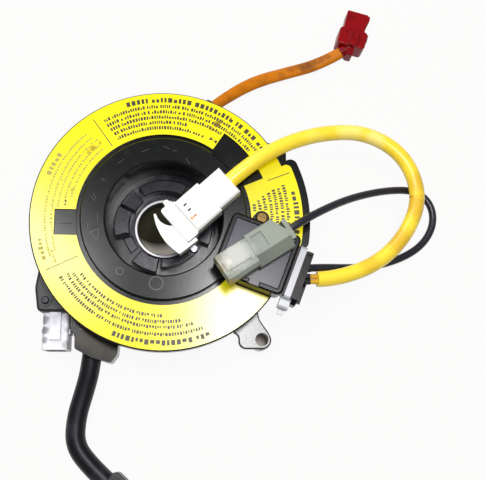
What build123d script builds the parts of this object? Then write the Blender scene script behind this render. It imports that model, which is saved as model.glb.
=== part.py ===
from build123d import *
from math import cos, hypot, pi, radians, sin, tan
import os

# Steering clock spring. Millimetres, +Z out of the labelled face, origin on the shaft axis
# in the plane of the rear faces.

# --- heights above the rear faces ---
FLOOR_Z = 8.0                 # underside of the case floor
FLOOR_T = 2.0
CASE_TOP_Z = 24.2
RUN_GAP = 0.3                 # running gap between rotor and stator faces
DISC_T = 2.5
ANNULUS_RISE = 1.6            # raised centre ring of the rotor disc
DISC_Z = CASE_TOP_Z + RUN_GAP
DISC_TOP = DISC_Z + DISC_T
ANNULUS_TOP = DISC_TOP + ANNULUS_RISE

# --- stator case ---
CASE_R = 53.0
CASE_WALL = 2.0
CHAMBER_R = CASE_R - CASE_WALL
CHAMBER_Z = FLOOR_Z + FLOOR_T
CASE_FOOT_ROUND = 1.0
COLLAR_R = 31.5               # rear locating collar
COLLAR_WALL = 2.4
COLLAR_CHAMFER = 0.6

# locating tab behind the lobe: its far corner, beyond the wall, and its outline from there
TAB_REACH, TAB_ANGLE = 12.17, 35.9
TAB_OUTLINE = [(-16.8, -6.2), (-16.8, 0), (0, 0), (0, -8.8), (-10.8, -14.2)]
TAB_RADII = [1.0, 1.2, 1.2]
TAB_T = 3.0

# low lug on the far side
SIDE_LUG_REACH, SIDE_LUG_ROOT = 4.8, 3.0
SIDE_LUG_FROM, SIDE_LUG_TO = 151.0, 165.0

# --- rotor disc ---
HUB_R = 24.0                  # open well of the hub
HUB_WALL = 2.0
HUB_OUT_R = HUB_R + HUB_WALL
HUB_CLEAR = 0.35              # hub tube in the case floor
ANNULUS_R = 34.2
ANNULUS_CHAMFER = 0.6
GROOVE_W = 1.5
GROOVE_D = 0.8
LIP_GAP = 0.5                 # skirt of the disc outside the case wall
LIP_T = 1.1
LIP_DROP = 4.0
LIP_R = CASE_R + LIP_GAP
DISC_R = LIP_R + LIP_T
DISC_EDGE = 0.5
LOBE_REACH = 6.1              # lobe beyond the round edge of the disc
LOBE_R = DISC_R + LOBE_REACH
LOBE_ROOT = 2.0
LOBE_FROM, LOBE_TO = -12.0, 27.0
LOBE_CORNER = 3.0
POCKET_D = 0.5                # shallow pockets seen through the label windows
POCKET_MARGIN = 0.6           # pocket's edge inside the label's inner edge
ALIGN_BAR_L, ALIGN_BAR_W = 5.0, 1.2
ALIGN_BAR_DROP = 0.1
EJECTOR_R = 1.9
EJECTOR_PITCH_R = 27.5
EJECTOR_COUNT, EJECTOR_START = 5, -23.0
EJECTOR_D = 0.25

# --- label ---
LABEL_T = 0.25
LABEL_IN_MARGIN, LABEL_OUT_MARGIN = 0.3, 0.6
LABEL_IN_R = ANNULUS_R + GROOVE_W + LABEL_IN_MARGIN
LABEL_R = DISC_R - LABEL_OUT_MARGIN
LABEL_RIM = 3.1               # bare rim of the lobe outside the label
LABEL_LOBE_TURN = 1.5         # degrees that the label stops short of the lobe's upper end
LABEL_GAP = 0.4               # label edge to the outlet box
WINDOW_W, WINDOW_R = 10.8, 44.4
WINDOW_Y = -2.4
SECTOR_FROM, SECTOR_TO, SECTOR_R = 23.5, 56.5, 44.7

# --- cancel cam and shaft collar, at the bottom of the well ---
SHAFT_R = 11.5
SHAFT_WALL = 1.7
SHAFT_TOP = 6.5
SHAFT_CHAMFER = 0.4
PRESS_CLEAR = 0.05
CAM_FLOOR_Z = 3.0
CAM_FLOOR_TOP = 5.2
CAM_RIM_R = 22.0
CAM_GRIP = 1.6                # how far the cam flange reaches under the case floor
CAM_TOP = FLOOR_Z - RUN_GAP
CAM_R = HUB_OUT_R + CAM_GRIP
CAM_LUG_Z = 1.0
CAM_LUG_ANGLE = 20.0
# start angle, end angle, inner radius, outer radius, top height
CAM_BLOCKS = [
    (62, 124, 15.6, 20.6, 11.5),
    (130, 152, 14.2, 21.6, 9.6),
    (156, 193, 15.0, 21.6, 12.0),
    (197, 220, 14.2, 18.2, 10.0),
    (229, 262, 14.4, 20.6, 13.0),
    (266, 332, 14.0, 17.8, 10.8),
    (338, 380, 15.0, 20.6, 10.2),
    (26, 56, 15.0, 20.6, 9.4),
]
CAM_BOSS_R = 1.5
CAM_BOSS_H = 1.2
CAM_BOSS_PITCH_R = 17.3
CAM_BOSS_ANGLES = (168, 187)
CAM_BOSS_BLOCK = 2            # the block that carries the two bosses
CAM_BLOCK_EDGE = 0.4
HUB_SCREW_ANGLE = 323.0
HUB_SCREW_BLOCK = 5
HUB_SCREW_PITCH_R = 15.9
SCREW_HEAD_R = 1.8
SCREW_HEAD_H = 1.4
SCREW_SLOT_W = 0.7
SCREW_SLOT_D = 0.7

# --- outlet box on the rotor: u runs outward along its middle line, v across it ---
BOX_ANGLE = -20.5
BOX_IN, BOX_OUT = 26.0, 55.5
BOX_V0, BOX_V1 = -14.8, 11.0
BOX_CUT_U, BOX_CUT_V = 38.0, -11.5
BOX_CORNER = 2.6
BOX_H = 10.6
BOX_WALL = 2.7
BOX_RIM = 1.9
BOX_EDGE = 0.9                # rounding of the rim's outer edge
BOX_FLOOR_T = 1.4
LID_T = 1.9
LID_DEPTH = 2.0               # depth of the lid's seat in the rim
LID_EDGE = 0.35
LID_CLEAR = 0.15
LID_PLUG_T = 1.2
LATCH_U, LATCH_W = 41.0, 5.0
NECK_L, NECK_ROOT = 4.5, 2.0
NECK_V0, NECK_V1 = -13.5, 6.5
NECK_LIFT, NECK_H = 1.2, 7.8
NECK_Z0 = DISC_TOP + NECK_LIFT
FLANGE_T = 2.2
FLANGE_U0 = BOX_OUT + NECK_L
FLANGE_U1 = FLANGE_U0 + FLANGE_T
FLANGE_V0, FLANGE_V1 = -16.0, 7.0
FLANGE_DROP, FLANGE_H = 1.0, 10.6
FLANGE_Z0 = DISC_TOP - FLANGE_DROP
FLANGE_BEVEL = 2.2
FOOT_REACH, FOOT_T = 2.2, 1.2
FOOT_V, FOOT_W, FOOT_ROOT = 9.0, 13.0, 0.5
WIRE_LIFT = 4.0
WIRE_Z = DISC_TOP + WIRE_LIFT
SLOT_V0, SLOT_V1, SLOT_H = -6.2, 3.8, 4.4
LUG_U, LUG_V, LUG_R, LUG_H = 37.5, 13.4, 3.2, 5.0
LUG_ROOT = 0.4
LUG_SCREW_R, LUG_SCREW_H = 2.3, 1.8

# --- terminal block in the box ---
TERMINAL_U0, TERMINAL_U1 = 32.0, 42.0
TERMINAL_V = -1.5
TERMINAL_W, TERMINAL_H = 14.0, 4.6

# --- cable tie round the neck ---
TIE_W, TIE_T = 2.6, 1.1
TIE_U = BOX_OUT + (NECK_L - TIE_W) / 2
TIE_HEAD_W, TIE_HEAD_L, TIE_HEAD_H = 4.2, 4.8, 5.0
TIE_HEAD_ROUND = 1.3
TIE_TAIL, TIE_TAIL_T = 1.6, 1.2
TIE_SHIFT = 0.6               # head and tail stand this far each side of the strap's middle

# --- wires ---
AIRBAG_WIRE_R = 1.0
AIRBAG_WIRE_SPREAD = 1.05
AIRBAG_WIRE_V = -2.1
AIRBAG_WIRE_L = 3.0
BOOT_T, BOOT_L = 0.2, 2.4
HORN_WIRE_R = 1.6
HORN_WIRE_V = 1.7
SLEEVE_R = 3.25
LEAD_R = 2.5
HARNESS_R = 4.1
ARC_SHARE = 0.45              # share of the shorter run that each arc takes

YELLOW_ROUTE = [
    (62.4, -25.2, 31.0), (70.6, -24.9, 30.3), (88.4, -18.1, 28.9), (101.4, -5.3, 27.8),
    (108.3, 12.1, 27.1), (101.7, 30.0, 27.0), (85.4, 39.1, 27.8), (67.6, 37.9, 29.8),
    (50.4, 31.8, 33.2), (34.94, 21.82, 35.34), (26.37, 14.07, 34.33),
]
HORN_ROUTE = [
    (59.6, -20.6, 30.6), (65.6, -20.0, 29.0), (77.0, -19.2, 24.0), (89.0, -17.9, 21.0),
    (101.1, -14.0, 19.4), (110.2, -8.3, 18.7), (115.4, -0.7, 18.5), (116.2, 7.2, 18.5),
    (112.9, 13.4, 18.6), (106.6, 16.4, 18.9), (96.2, 15.4, 21.5), (85.2, 12.2, 26.4),
    (74.6, 7.8, 32.2), (64.6, 2.2, 38.2), (55.93, -3.20, 42.7), (49.73, -7.23, 42.7),
]
LEAD_ROUTE = [
    (17.6, 52.0, 13.5), (25.2, 58.6, 12.0), (38.9, 69.3, 6.4), (54.5, 75.8, 3.0),
    (69.7, 80.4, 3.2), (80.0, 86.1, 4.8),
]
HARNESS_ROUTE = [
    (-28.8, -50.4, 7.0), (-29.5, -60.0, 6.2), (-32.0, -70.0, 4.8), (-34.8, -80.0, 4.35),
    (-35.2, -91.2, 4.4), (-28.6, -99.6, 4.6), (-21.8, -105.6, 5.2),
]

# --- ribbon cable in the chamber ---
RIBBON_LIFT, RIBBON_HEAD = 0.7, 0.3
RIBBON_HUB_GAP = 2.6
RIBBON_IN_R = HUB_OUT_R + RIBBON_HUB_GAP
RIBBON_T = 0.3
RIBBON_PITCH = 2.4
RIBBON_TURNS = 7
RIBBON_Z0, RIBBON_Z1 = CHAMBER_Z + RIBBON_LIFT, CASE_TOP_Z - RIBBON_HEAD
GLIDE_T = 0.4
GLIDE_HUB_GAP = 1.0
CLAMP_ANGLE = 6.0

# --- mounting ear of the case: its hole beyond the wall, and its outline from the hole ---
EAR_REACH, EAR_ANGLE = 10.81, -49.19
EAR_HOLE_R = 2.8
EAR_NOSE, EAR_HEEL = 4.0, 9.8
EAR_OUTLINE = [
    (-4.2, 14.0), (-1.6, 12.6), (-1.1, 8.6), (2.9, 2.9), (EAR_NOSE, 0.6), (EAR_NOSE, -EAR_NOSE),
    (-EAR_HEEL, -EAR_NOSE), (-EAR_HEEL, 1.6), (-13.4, 3.4), (-11.4, 9.6),
]
EAR_RADII = [2.0, 5.0, 1.5, 1.6, 3.7, 3.2, 2.6, 1.4]
EAR_Z, EAR_T = 10.0, 3.0
EAR_ROUND = 0.6
EAR_BOSS_Z = 1.5
EAR_BOSS_WALL = 1.4
EAR_RIB_R, EAR_RIB_W, EAR_RIB_H = 6.4, 0.9, 0.5
EAR_RIB_FROM, EAR_RIB_TURN = 142.0, 30.0

# --- connector bay: the cover screw beyond the wall, and the outline from that screw ---
BAY_REACH, BAY_ANGLE = 5.15, -145.0
BAY_SIDE_Y = -4.6             # the side that the column connector stands on
BAY_OUTLINE = [
    (11.6, 3.4), (5.6, 21.4), (-3.0, 16.9), (-4.7, 5.4), (-3.3, BAY_SIDE_Y), (15.6, BAY_SIDE_Y),
]
BAY_RADII = [2.0, 4.0, 8.0, 2.2]
BAY_Z0, BAY_SPLIT_Z, COVER_TOP_Z = 1.5, 12.0, 18.0
COVER_ROUND = 1.2
BAY_BOSS_WALL, BAY_BOSS_H = 0.9, 0.8
BAY_SCREW_R = 1.6
COLUMN_X = 4.1                # middle of the connector from the cover screw
COLUMN_W, COLUMN_L = 10.6, 15.2
COLUMN_Z0, COLUMN_H = 2.0, 13.4
COLUMN_WALL, COLUMN_DEPTH = 1.4, 10.6
COLUMN_CORNER, COLUMN_MOUTH_CORNER = 1.2, 0.6
COLUMN_RIB_W, COLUMN_RIB_H, COLUMN_RIB_SETBACK = 4.4, 1.3, 4.0
COLUMN_SIDE_W, COLUMN_SIDE_H, COLUMN_SIDE_L, COLUMN_SIDE_SETBACK = 0.5, 9.4, 2.0, 6.5
PIN_W, PIN_L = 0.8, 6.0
PIN_COLUMNS, PIN_ROWS = 2, 3
PIN_PITCH_X, PIN_PITCH_Z = 3.0, 3.4

# --- harness outlet of the case: its middle beyond the wall, and its outline from there ---
OUTLET_REACH, OUTLET_ANGLE = 4.31, -119.25
OUTLET_OUTLINE = [
    (-2.0, 14.0), (-9.6, 13.0), (-9.4, 6.0), (-7.9, 2.0), (-7.8, -2.6), (-0.3, -6.3),
    (7.2, -8.4), (9.7, -4.9), (10.6, 4.0),
]
OUTLET_RADII = [0.8, 2.0, 1.4, 1.6, 3.0, 1.4, 2.0]
OUTLET_Z0, OUTLET_Z1 = 0.8, 13.6
OUTLET_BORE_L = 20.0
GLAND_CLEAR = 0.15
GUIDE_WALL = 1.5
GUIDE_REACH, GUIDE_ROOT = 3.2, 6.0

# --- airbag connector: x runs from its rear along the cord, y across, z up ---
SQUIB_W, SQUIB_H = 15.0, 9.5
SQUIB_REAR_W, SQUIB_REAR_L = 13.0, 10.6
SQUIB_REAR_SHIFT = 0.1
SQUIB_EDGE = 0.8
SQUIB_RIB_X, SQUIB_RIB_Y, SQUIB_RIB_L, SQUIB_RIB_W, SQUIB_RIB_H = 11.0, 4.6, 13.0, 1.0, 0.6
SQUIB_SLOT_X, SQUIB_SLOT_YS = 20.2, (-4.0, -1.3, 2.0)
SQUIB_SLOT_L, SQUIB_SLOT_W, SQUIB_SLOT_D = 1.6, 0.8, 1.2
HEAD_X0, HEAD_X1 = 23.4, 29.2
HEAD_Y0, HEAD_Y1 = -9.0, 8.0
HEAD_LIFT, HEAD_H = 0.6, 7.6
HEAD_CORNER = 1.0
HEAD_NOSE_X, HEAD_NOSE_L, HEAD_NOSE_REACH = 25.2, 2.2, 1.8
HEAD_HOLES = [(27.5, -7.4), (27.8, -4.1), (28.4, -2.2)]
HEAD_HOLE_R, HEAD_HOLE_D = 0.45, 1.2
LOCK_LIFT, LOCK_H = 1.2, 6.0
LOCK_TIP, LOCK_BELLY, LOCK_HEEL = (2.7, -9.9), (6.4, 0.0), (5.5, 9.2)
LOCK_HOOK_X, LOCK_HOOK_T, LOCK_GAP = -3.6, 1.5, 0.3
LOCK_ROOT_Y = -1.1
LOCK_SLIT, LOCK_TIP_IN = (2.4, -4.4), (2.0, -9.4)

# --- horn connector: x runs from its rear along the cord, y across, z up ---
HORN_BOSS_L, HORN_BOSS_W, HORN_BOSS_H = 1.8, 8.6, 6.6
HORN_REAR_L, HORN_REAR_W = 16.0, 13.7
HORN_FRONT_L, HORN_FRONT_W = 14.0, 12.2
HORN_H, HORN_STEP = 9.0, 0.4
HORN_SHELF_H, HORN_BEVEL = 4.6, 4.2
HORN_FRONT_BEVEL = 1.4
HORN_SLANT_X, HORN_SLANT_Y = 3.6, 7.4
HORN_CORNER = 0.7
HORN_WINDOW_L, HORN_WINDOW_W, HORN_WINDOW_D = 5.0, 6.4, 0.7
HORN_WINDOW_X, HORN_WINDOW_Y = 4.2, -1.8
HORN_ARM_L, HORN_ARM_W, HORN_ARM_H = 11.0, 5.0, 0.8
HORN_ARM_Y, HORN_ARM_SETBACK = -0.8, 1.2
HORN_MOUTH, HORN_MOUTH_WALL = 3.4, 1.2
HORN_TAB_W, HORN_TAB_H, HORN_TAB_WALL, HORN_TAB_OUT = 7.4, 2.6, 0.6, 2.2

# --- lead connector: x along its own middle line, y across, z up ---
RED_ANGLE = 75.5
RED_CENTRE = (85.0, 91.8)
RED_L, RED_W, RED_H = 8.6, 13.2, 9.6
RED_CORNER, RED_EDGE = 1.6, 0.6
RED_NOSE_L, RED_NOSE_W, RED_NOSE_DROP = 9.0, 10.0, 0.8
RED_LIP_L, RED_LIP_X, RED_LIP_REACH = 3.4, 11.1, 0.9
RED_RIB_L, RED_RIB_REACH, RED_RIB_DROP = 3.4, 0.6, 2.4
RED_TAIL_L, RED_TAIL_W, RED_TAIL_Y, RED_TAIL_DROP = 4.0, 3.2, -0.5, 1.6
RED_LIFT = 0.2
RED_BOOT, RED_BOOT_L = 0.5, 5.0
RED_HOLE_PITCH, RED_HOLE_W, RED_HOLE_H, RED_HOLE_D = 4.0, 1.8, 2.6, 5.0
RED_LOCK_L, RED_LOCK_W, RED_LOCK_H, RED_LOCK_X = 7.4, 4.6, 1.2, -0.6
RED_LOCK_ROUND = 2.1

# --- harness plug: its boot, then its body ---
PLUG_BOOT_L, PLUG_BOOT_W, PLUG_BOOT_H, PLUG_BOOT_SHIFT = 8.0, 10.4, 9.4, 0.9
PLUG_BOOT_ROUND = 2.6
PLUG_L, PLUG_W, PLUG_H = 15.0, 12.0, 10.0
PLUG_EDGE = 0.8
PLUG_LATCH_L, PLUG_LATCH_W, PLUG_LATCH_H = 10.0, 4.4, 1.6

# --- small roundings ---
HEAD_ROUND = 0.5              # screw heads
TRIM_ROUND = 0.4


def polar(radius, angle):
    """Point at a radius and an angle in degrees round the shaft axis."""
    return (radius * cos(radians(angle)), radius * sin(radians(angle)))


def from_point(corner, offsets):
    """Outline given by offsets from one point."""
    return [(corner[0] + across, corner[1] + along) for across, along in offsets]


def turned_plane(height, angle, centre=(0.0, 0.0)):
    """Level plane at a height, its x axis turned by an angle about Z."""
    return Plane(
        origin=(centre[0], centre[1], height),
        x_dir=(cos(radians(angle)), sin(radians(angle)), 0),
        z_dir=(0, 0, 1),
    )


def ring_sector(inner, outer, start, end, corner=0.0):
    """Area between two radii and two angles, its outer corners rounded if a radius is given."""
    with BuildSketch() as sector:
        with BuildLine():
            CenterArc((0, 0), inner, start, end - start)
            CenterArc((0, 0), outer, start, end - start)
            Line(polar(inner, start), polar(outer, start))
            Line(polar(inner, end), polar(outer, end))
        make_face()
        if corner:
            fillet(sector.vertices().sort_by(lambda point: Vector(*point).length)[-2:], corner)
    return sector.sketch


def rounded_outline(points, radii):
    """Area inside a closed outline, rounded at every point but the first and last."""
    with BuildSketch() as outline:
        with BuildLine():
            side = FilletPolyline(*points, radius=radii)
            Line(side @ 1, side @ 0)
        make_face()
    return outline.sketch


def arc_radii(name, points):
    """Radius of the tangent arc at each corner of a cord, as large as its two runs allow."""
    corners = [Vector(*point) for point in points]
    radii = []
    for before, corner, after in zip(corners, corners[1:], corners[2:]):
        arriving, leaving = corner - before, after - corner
        half_turn = radians(arriving.get_angle(leaving)) / 2
        radii.append(ARC_SHARE * min(arriving.length, leaving.length) / tan(half_turn))
    print(name, "arc radii", [round(radius, 1) for radius in radii])
    return radii


def print_cord(name, solid, length, radius):
    """Length of a cord's middle line, and its volume against section times length."""
    section = pi * radius**2
    print(name, "length", round(length, 1), "volume ratio", round(solid.volume / (section * length), 4))


def box_footprint(grow=0.0):
    """Plan of the outlet box in its own plane, grown or shrunk all round."""
    with BuildSketch() as plan:
        with BuildLine():
            side = FilletPolyline(
                (BOX_IN, (BOX_CUT_V + BOX_V1) / 2),
                (BOX_IN, BOX_V1),
                (BOX_OUT, BOX_V1),
                (BOX_OUT, BOX_V0),
                (BOX_CUT_U, BOX_V0),
                (BOX_IN, BOX_CUT_V),
                radius=[BOX_CORNER, BOX_CORNER, BOX_CORNER, BOX_CORNER],
            )
            Line(side @ 1, side @ 0)
        make_face()
        if grow:
            offset(amount=grow, kind=Kind.INTERSECTION, mode=Mode.REPLACE)
    return plan.sketch


def plug_plane(route, height):
    """Underside of a plug at the end of a cord: x runs on along the cord, z is up."""
    end, before = Vector(*route[-1]), Vector(*route[-2])
    run = (end - before).normalized()
    up = run.cross(Vector(0, 0, 1).cross(run).normalized())
    return Plane(origin=end - up * height / 2, x_dir=run, z_dir=up)


def screw_recess(radius):
    """Cross recess of a screw head."""
    Rectangle(1.3 * radius, SCREW_SLOT_W)
    Rectangle(SCREW_SLOT_W, 1.3 * radius)


def across_plane(base, distance=0.0):
    """Upright plane across a plug, its x axis to the plug's left and its y axis up."""
    return Plane(
        origin=base.from_local_coords((distance, 0, 0)), x_dir=base.y_dir, z_dir=base.x_dir
    )


# ======================= stator =======================

# The case: floor, outer wall and rear collar in one moulding, with its ear, tabs,
# connector bay, harness outlet and lead guide. Each stands off the wall by its own reach.
ear_at = polar(CASE_R + EAR_REACH, EAR_ANGLE)
bay_screw_at = polar(CASE_R + BAY_REACH, BAY_ANGLE)
bay_outline = from_point(bay_screw_at, BAY_OUTLINE)
lead_exit = Vector(*LEAD_ROUTE[0])
guide_plane = Plane(origin=lead_exit, z_dir=Vector(*LEAD_ROUTE[1]) - lead_exit)
harness_plane = Plane(
    origin=HARNESS_ROUTE[0],
    z_dir=Vector(*HARNESS_ROUTE[1]) - Vector(*HARNESS_ROUTE[0]),
)

with BuildPart() as stator_case:
    with BuildSketch(Plane.XY.offset(FLOOR_Z)):
        Circle(CASE_R)
    extrude(amount=CASE_TOP_Z - FLOOR_Z)
    fillet(stator_case.edges().group_by(Axis.Z)[0], CASE_FOOT_ROUND)
    with BuildSketch(Plane.XY):
        Circle(COLLAR_R)
    extrude(amount=FLOOR_Z)
    chamfer(stator_case.faces().sort_by(Axis.Z)[0].edges(), COLLAR_CHAMFER)

    # mounting ear with its screw boss and the curved rib beside the hole
    with BuildSketch(Plane.XY.offset(EAR_Z)):
        add(rounded_outline(from_point(ear_at, EAR_OUTLINE), EAR_RADII))
    extrude(amount=EAR_T)
    fillet(
        stator_case.faces().filter_by(Axis.Z).group_by(Axis.Z)[-2].edges().filter_by(
            lambda edge: hypot((edge @ 0.5).X, (edge @ 0.5).Y) > CASE_R + EAR_ROUND
        ),
        EAR_ROUND,
    )
    with BuildSketch(Plane.XY.offset(EAR_Z + EAR_T)):
        with BuildLine(mode=Mode.PRIVATE) as rib_line:
            CenterArc(ear_at, EAR_RIB_R, EAR_RIB_FROM, EAR_RIB_TURN)
        SlotArc(rib_line.edge(), EAR_RIB_W)
    extrude(amount=EAR_RIB_H)
    with BuildSketch(Plane.XY.offset(EAR_BOSS_Z)):
        with Locations(ear_at):
            Circle(EAR_HOLE_R + EAR_BOSS_WALL)
    extrude(amount=EAR_Z - EAR_BOSS_Z)

    # plain locating tab behind the lobe, and the low lug on the far side
    with BuildSketch(Plane.XY.offset(CHAMBER_Z)):
        tab_corner = polar(CASE_R + TAB_REACH, TAB_ANGLE)
        add(rounded_outline(from_point(tab_corner, TAB_OUTLINE), TAB_RADII))
        add(ring_sector(CASE_R - SIDE_LUG_ROOT, CASE_R + SIDE_LUG_REACH, SIDE_LUG_FROM, SIDE_LUG_TO))
    extrude(amount=TAB_T)

    # connector bay under its cover
    with BuildSketch(Plane.XY.offset(BAY_Z0)):
        add(rounded_outline(bay_outline, BAY_RADII))
    extrude(amount=BAY_SPLIT_Z - BAY_Z0)

    # harness outlet
    with BuildSketch(Plane.XY.offset(OUTLET_Z0)):
        outlet_at = polar(CASE_R + OUTLET_REACH, OUTLET_ANGLE)
        add(rounded_outline(from_point(outlet_at, OUTLET_OUTLINE), OUTLET_RADII))
    extrude(amount=OUTLET_Z1 - OUTLET_Z0)
    with BuildSketch(harness_plane):
        Circle(HARNESS_R + GLAND_CLEAR)
    extrude(amount=OUTLET_BORE_L, mode=Mode.SUBTRACT)

    # lead guide
    with BuildSketch(guide_plane):
        Circle(LEAD_R + GUIDE_WALL)
    extrude(amount=GUIDE_REACH)
    with BuildSketch(guide_plane):
        Circle(LEAD_R + GUIDE_WALL)
    extrude(amount=-GUIDE_ROOT)
    with BuildSketch(guide_plane):
        Circle(LEAD_R + GLAND_CLEAR)
    extrude(amount=GUIDE_REACH, mode=Mode.SUBTRACT)

    # ribbon chamber, hub bore, collar bore and screw hole
    with BuildSketch(Plane.XY.offset(CHAMBER_Z)):
        Circle(CHAMBER_R)
    extrude(amount=CASE_TOP_Z - CHAMBER_Z, mode=Mode.SUBTRACT)
    with BuildSketch(Plane.XY.offset(FLOOR_Z)):
        Circle(HUB_OUT_R + HUB_CLEAR)
    extrude(amount=FLOOR_T, mode=Mode.SUBTRACT)
    with BuildSketch(Plane.XY):
        Circle(COLLAR_R - COLLAR_WALL)
    extrude(amount=FLOOR_Z, mode=Mode.SUBTRACT)
    with BuildSketch(Plane.XY):
        with Locations(ear_at):
            Circle(EAR_HOLE_R)
    extrude(amount=CASE_TOP_Z, mode=Mode.SUBTRACT)

# Cover over the connector bay, with a screw boss.
with BuildPart() as connector_cover:
    with BuildSketch(Plane.XY.offset(BAY_SPLIT_Z)):
        add(rounded_outline(bay_outline, BAY_RADII))
        Circle(CASE_R + PRESS_CLEAR, mode=Mode.SUBTRACT)
    extrude(amount=COVER_TOP_Z - BAY_SPLIT_Z)
    fillet(
        connector_cover.edges().group_by(Axis.Z)[-1].filter_by(
            lambda edge: hypot((edge @ 0.5).X, (edge @ 0.5).Y) > CASE_R + COVER_ROUND / 2
        ),
        COVER_ROUND,
    )
    with BuildSketch(Plane.XY.offset(COVER_TOP_Z)):
        with Locations(bay_screw_at):
            Circle(BAY_SCREW_R + BAY_BOSS_WALL)
    extrude(amount=BAY_BOSS_H)

cover_screw_z = COVER_TOP_Z + BAY_BOSS_H
with BuildPart() as cover_screw:
    with BuildSketch(Plane.XY.offset(cover_screw_z)):
        with Locations(bay_screw_at):
            Circle(BAY_SCREW_R)
    extrude(amount=SCREW_HEAD_H)
    fillet(cover_screw.edges().group_by(Axis.Z)[-1], HEAD_ROUND)
    with BuildSketch(Plane.XY.offset(cover_screw_z + SCREW_HEAD_H)):
        with Locations(bay_screw_at):
            screw_recess(BAY_SCREW_R)
    extrude(amount=-SCREW_SLOT_D, mode=Mode.SUBTRACT)

# Column connector: a shrouded socket on the bay's lower side, with its pins.
bay_side_y = bay_screw_at[1] + BAY_SIDE_Y
column_end = Plane(
    origin=(bay_screw_at[0] + COLUMN_X, bay_side_y - COLUMN_L, COLUMN_Z0 + COLUMN_H / 2),
    x_dir=(1, 0, 0),
    z_dir=(0, -1, 0),
)
with BuildPart() as column_connector:
    with BuildSketch(column_end):
        RectangleRounded(COLUMN_W, COLUMN_H, COLUMN_CORNER)
    extrude(amount=-COLUMN_L)
    # raised rib along the top, and the latch ribs on both sides
    with BuildSketch(column_end.offset(-COLUMN_RIB_SETBACK)):
        with Locations((0, COLUMN_H / 2)):
            Rectangle(COLUMN_RIB_W, 2 * COLUMN_RIB_H)
    extrude(amount=-(COLUMN_L - COLUMN_RIB_SETBACK))
    with BuildSketch(column_end.offset(-COLUMN_SIDE_SETBACK)):
        Rectangle(COLUMN_W + 2 * COLUMN_SIDE_W, COLUMN_SIDE_H)
    extrude(amount=-COLUMN_SIDE_L)
    with BuildSketch(column_end):
        RectangleRounded(COLUMN_W - 2 * COLUMN_WALL, COLUMN_H - 2 * COLUMN_WALL, COLUMN_MOUTH_CORNER)
    extrude(amount=-COLUMN_DEPTH, mode=Mode.SUBTRACT)

with BuildPart() as column_pins:
    with BuildSketch(column_end.offset(-COLUMN_DEPTH)):
        with GridLocations(PIN_PITCH_X, PIN_PITCH_Z, PIN_COLUMNS, PIN_ROWS):
            Rectangle(PIN_W, PIN_W)
    extrude(amount=PIN_L)

# Low-friction sheet on the chamber floor.
with BuildPart() as glide_sheet:
    with BuildSketch(Plane.XY.offset(CHAMBER_Z)):
        Circle(CHAMBER_R - RUN_GAP)
        Circle(HUB_OUT_R + GLIDE_HUB_GAP, mode=Mode.SUBTRACT)
    extrude(amount=GLIDE_T)

# Ribbon cable: half-circle turns whose centres alternate, so that each turn grows by the pitch.
with BuildPart() as ribbon_cable:
    with BuildSketch(Plane.XY.offset(RIBBON_Z0)):
        for half in range(2 * RIBBON_TURNS):
            turn_r = RIBBON_IN_R + half * RIBBON_PITCH / 2
            side = 1 if half % 2 == 0 else -1
            centre_x = 0.0 if side == 1 else -RIBBON_PITCH / 2
            with BuildLine():
                CenterArc((centre_x, 0), turn_r, 0 if side == 1 else 180, 180)
                CenterArc((centre_x, 0), turn_r + RIBBON_T, 0 if side == 1 else 180, 180)
                Line((centre_x + turn_r, 0), (centre_x + turn_r + RIBBON_T, 0))
                Line((centre_x - turn_r, 0), (centre_x - turn_r - RIBBON_T, 0))
            make_face()
    extrude(amount=RIBBON_Z1 - RIBBON_Z0)

# Clamp blocks where the ribbon's ends are welded to the terminals.
ribbon_out_r = RIBBON_IN_R + (RIBBON_TURNS - 0.5) * RIBBON_PITCH + RIBBON_PITCH / 2 + RIBBON_T
with BuildPart() as outer_clamp:
    with BuildSketch(Plane.XY.offset(CHAMBER_Z + GLIDE_T)):
        add(ring_sector(ribbon_out_r + PRESS_CLEAR, CHAMBER_R - PRESS_CLEAR, -CLAMP_ANGLE, 0))
    extrude(amount=RIBBON_Z1 - CHAMBER_Z - GLIDE_T)

# Airbag supply lead, lying flat and taped, and its plug.
with BuildPart() as airbag_lead:
    with BuildLine() as lead_line:
        FilletPolyline(*LEAD_ROUTE, radius=arc_radii("airbag_lead", LEAD_ROUTE))
    with BuildSketch(Plane(origin=lead_line.line @ 0, z_dir=lead_line.line % 0)):
        Circle(LEAD_R)
    sweep()
print_cord("airbag_lead", airbag_lead.part, lead_line.wire().length, LEAD_R)

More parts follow.
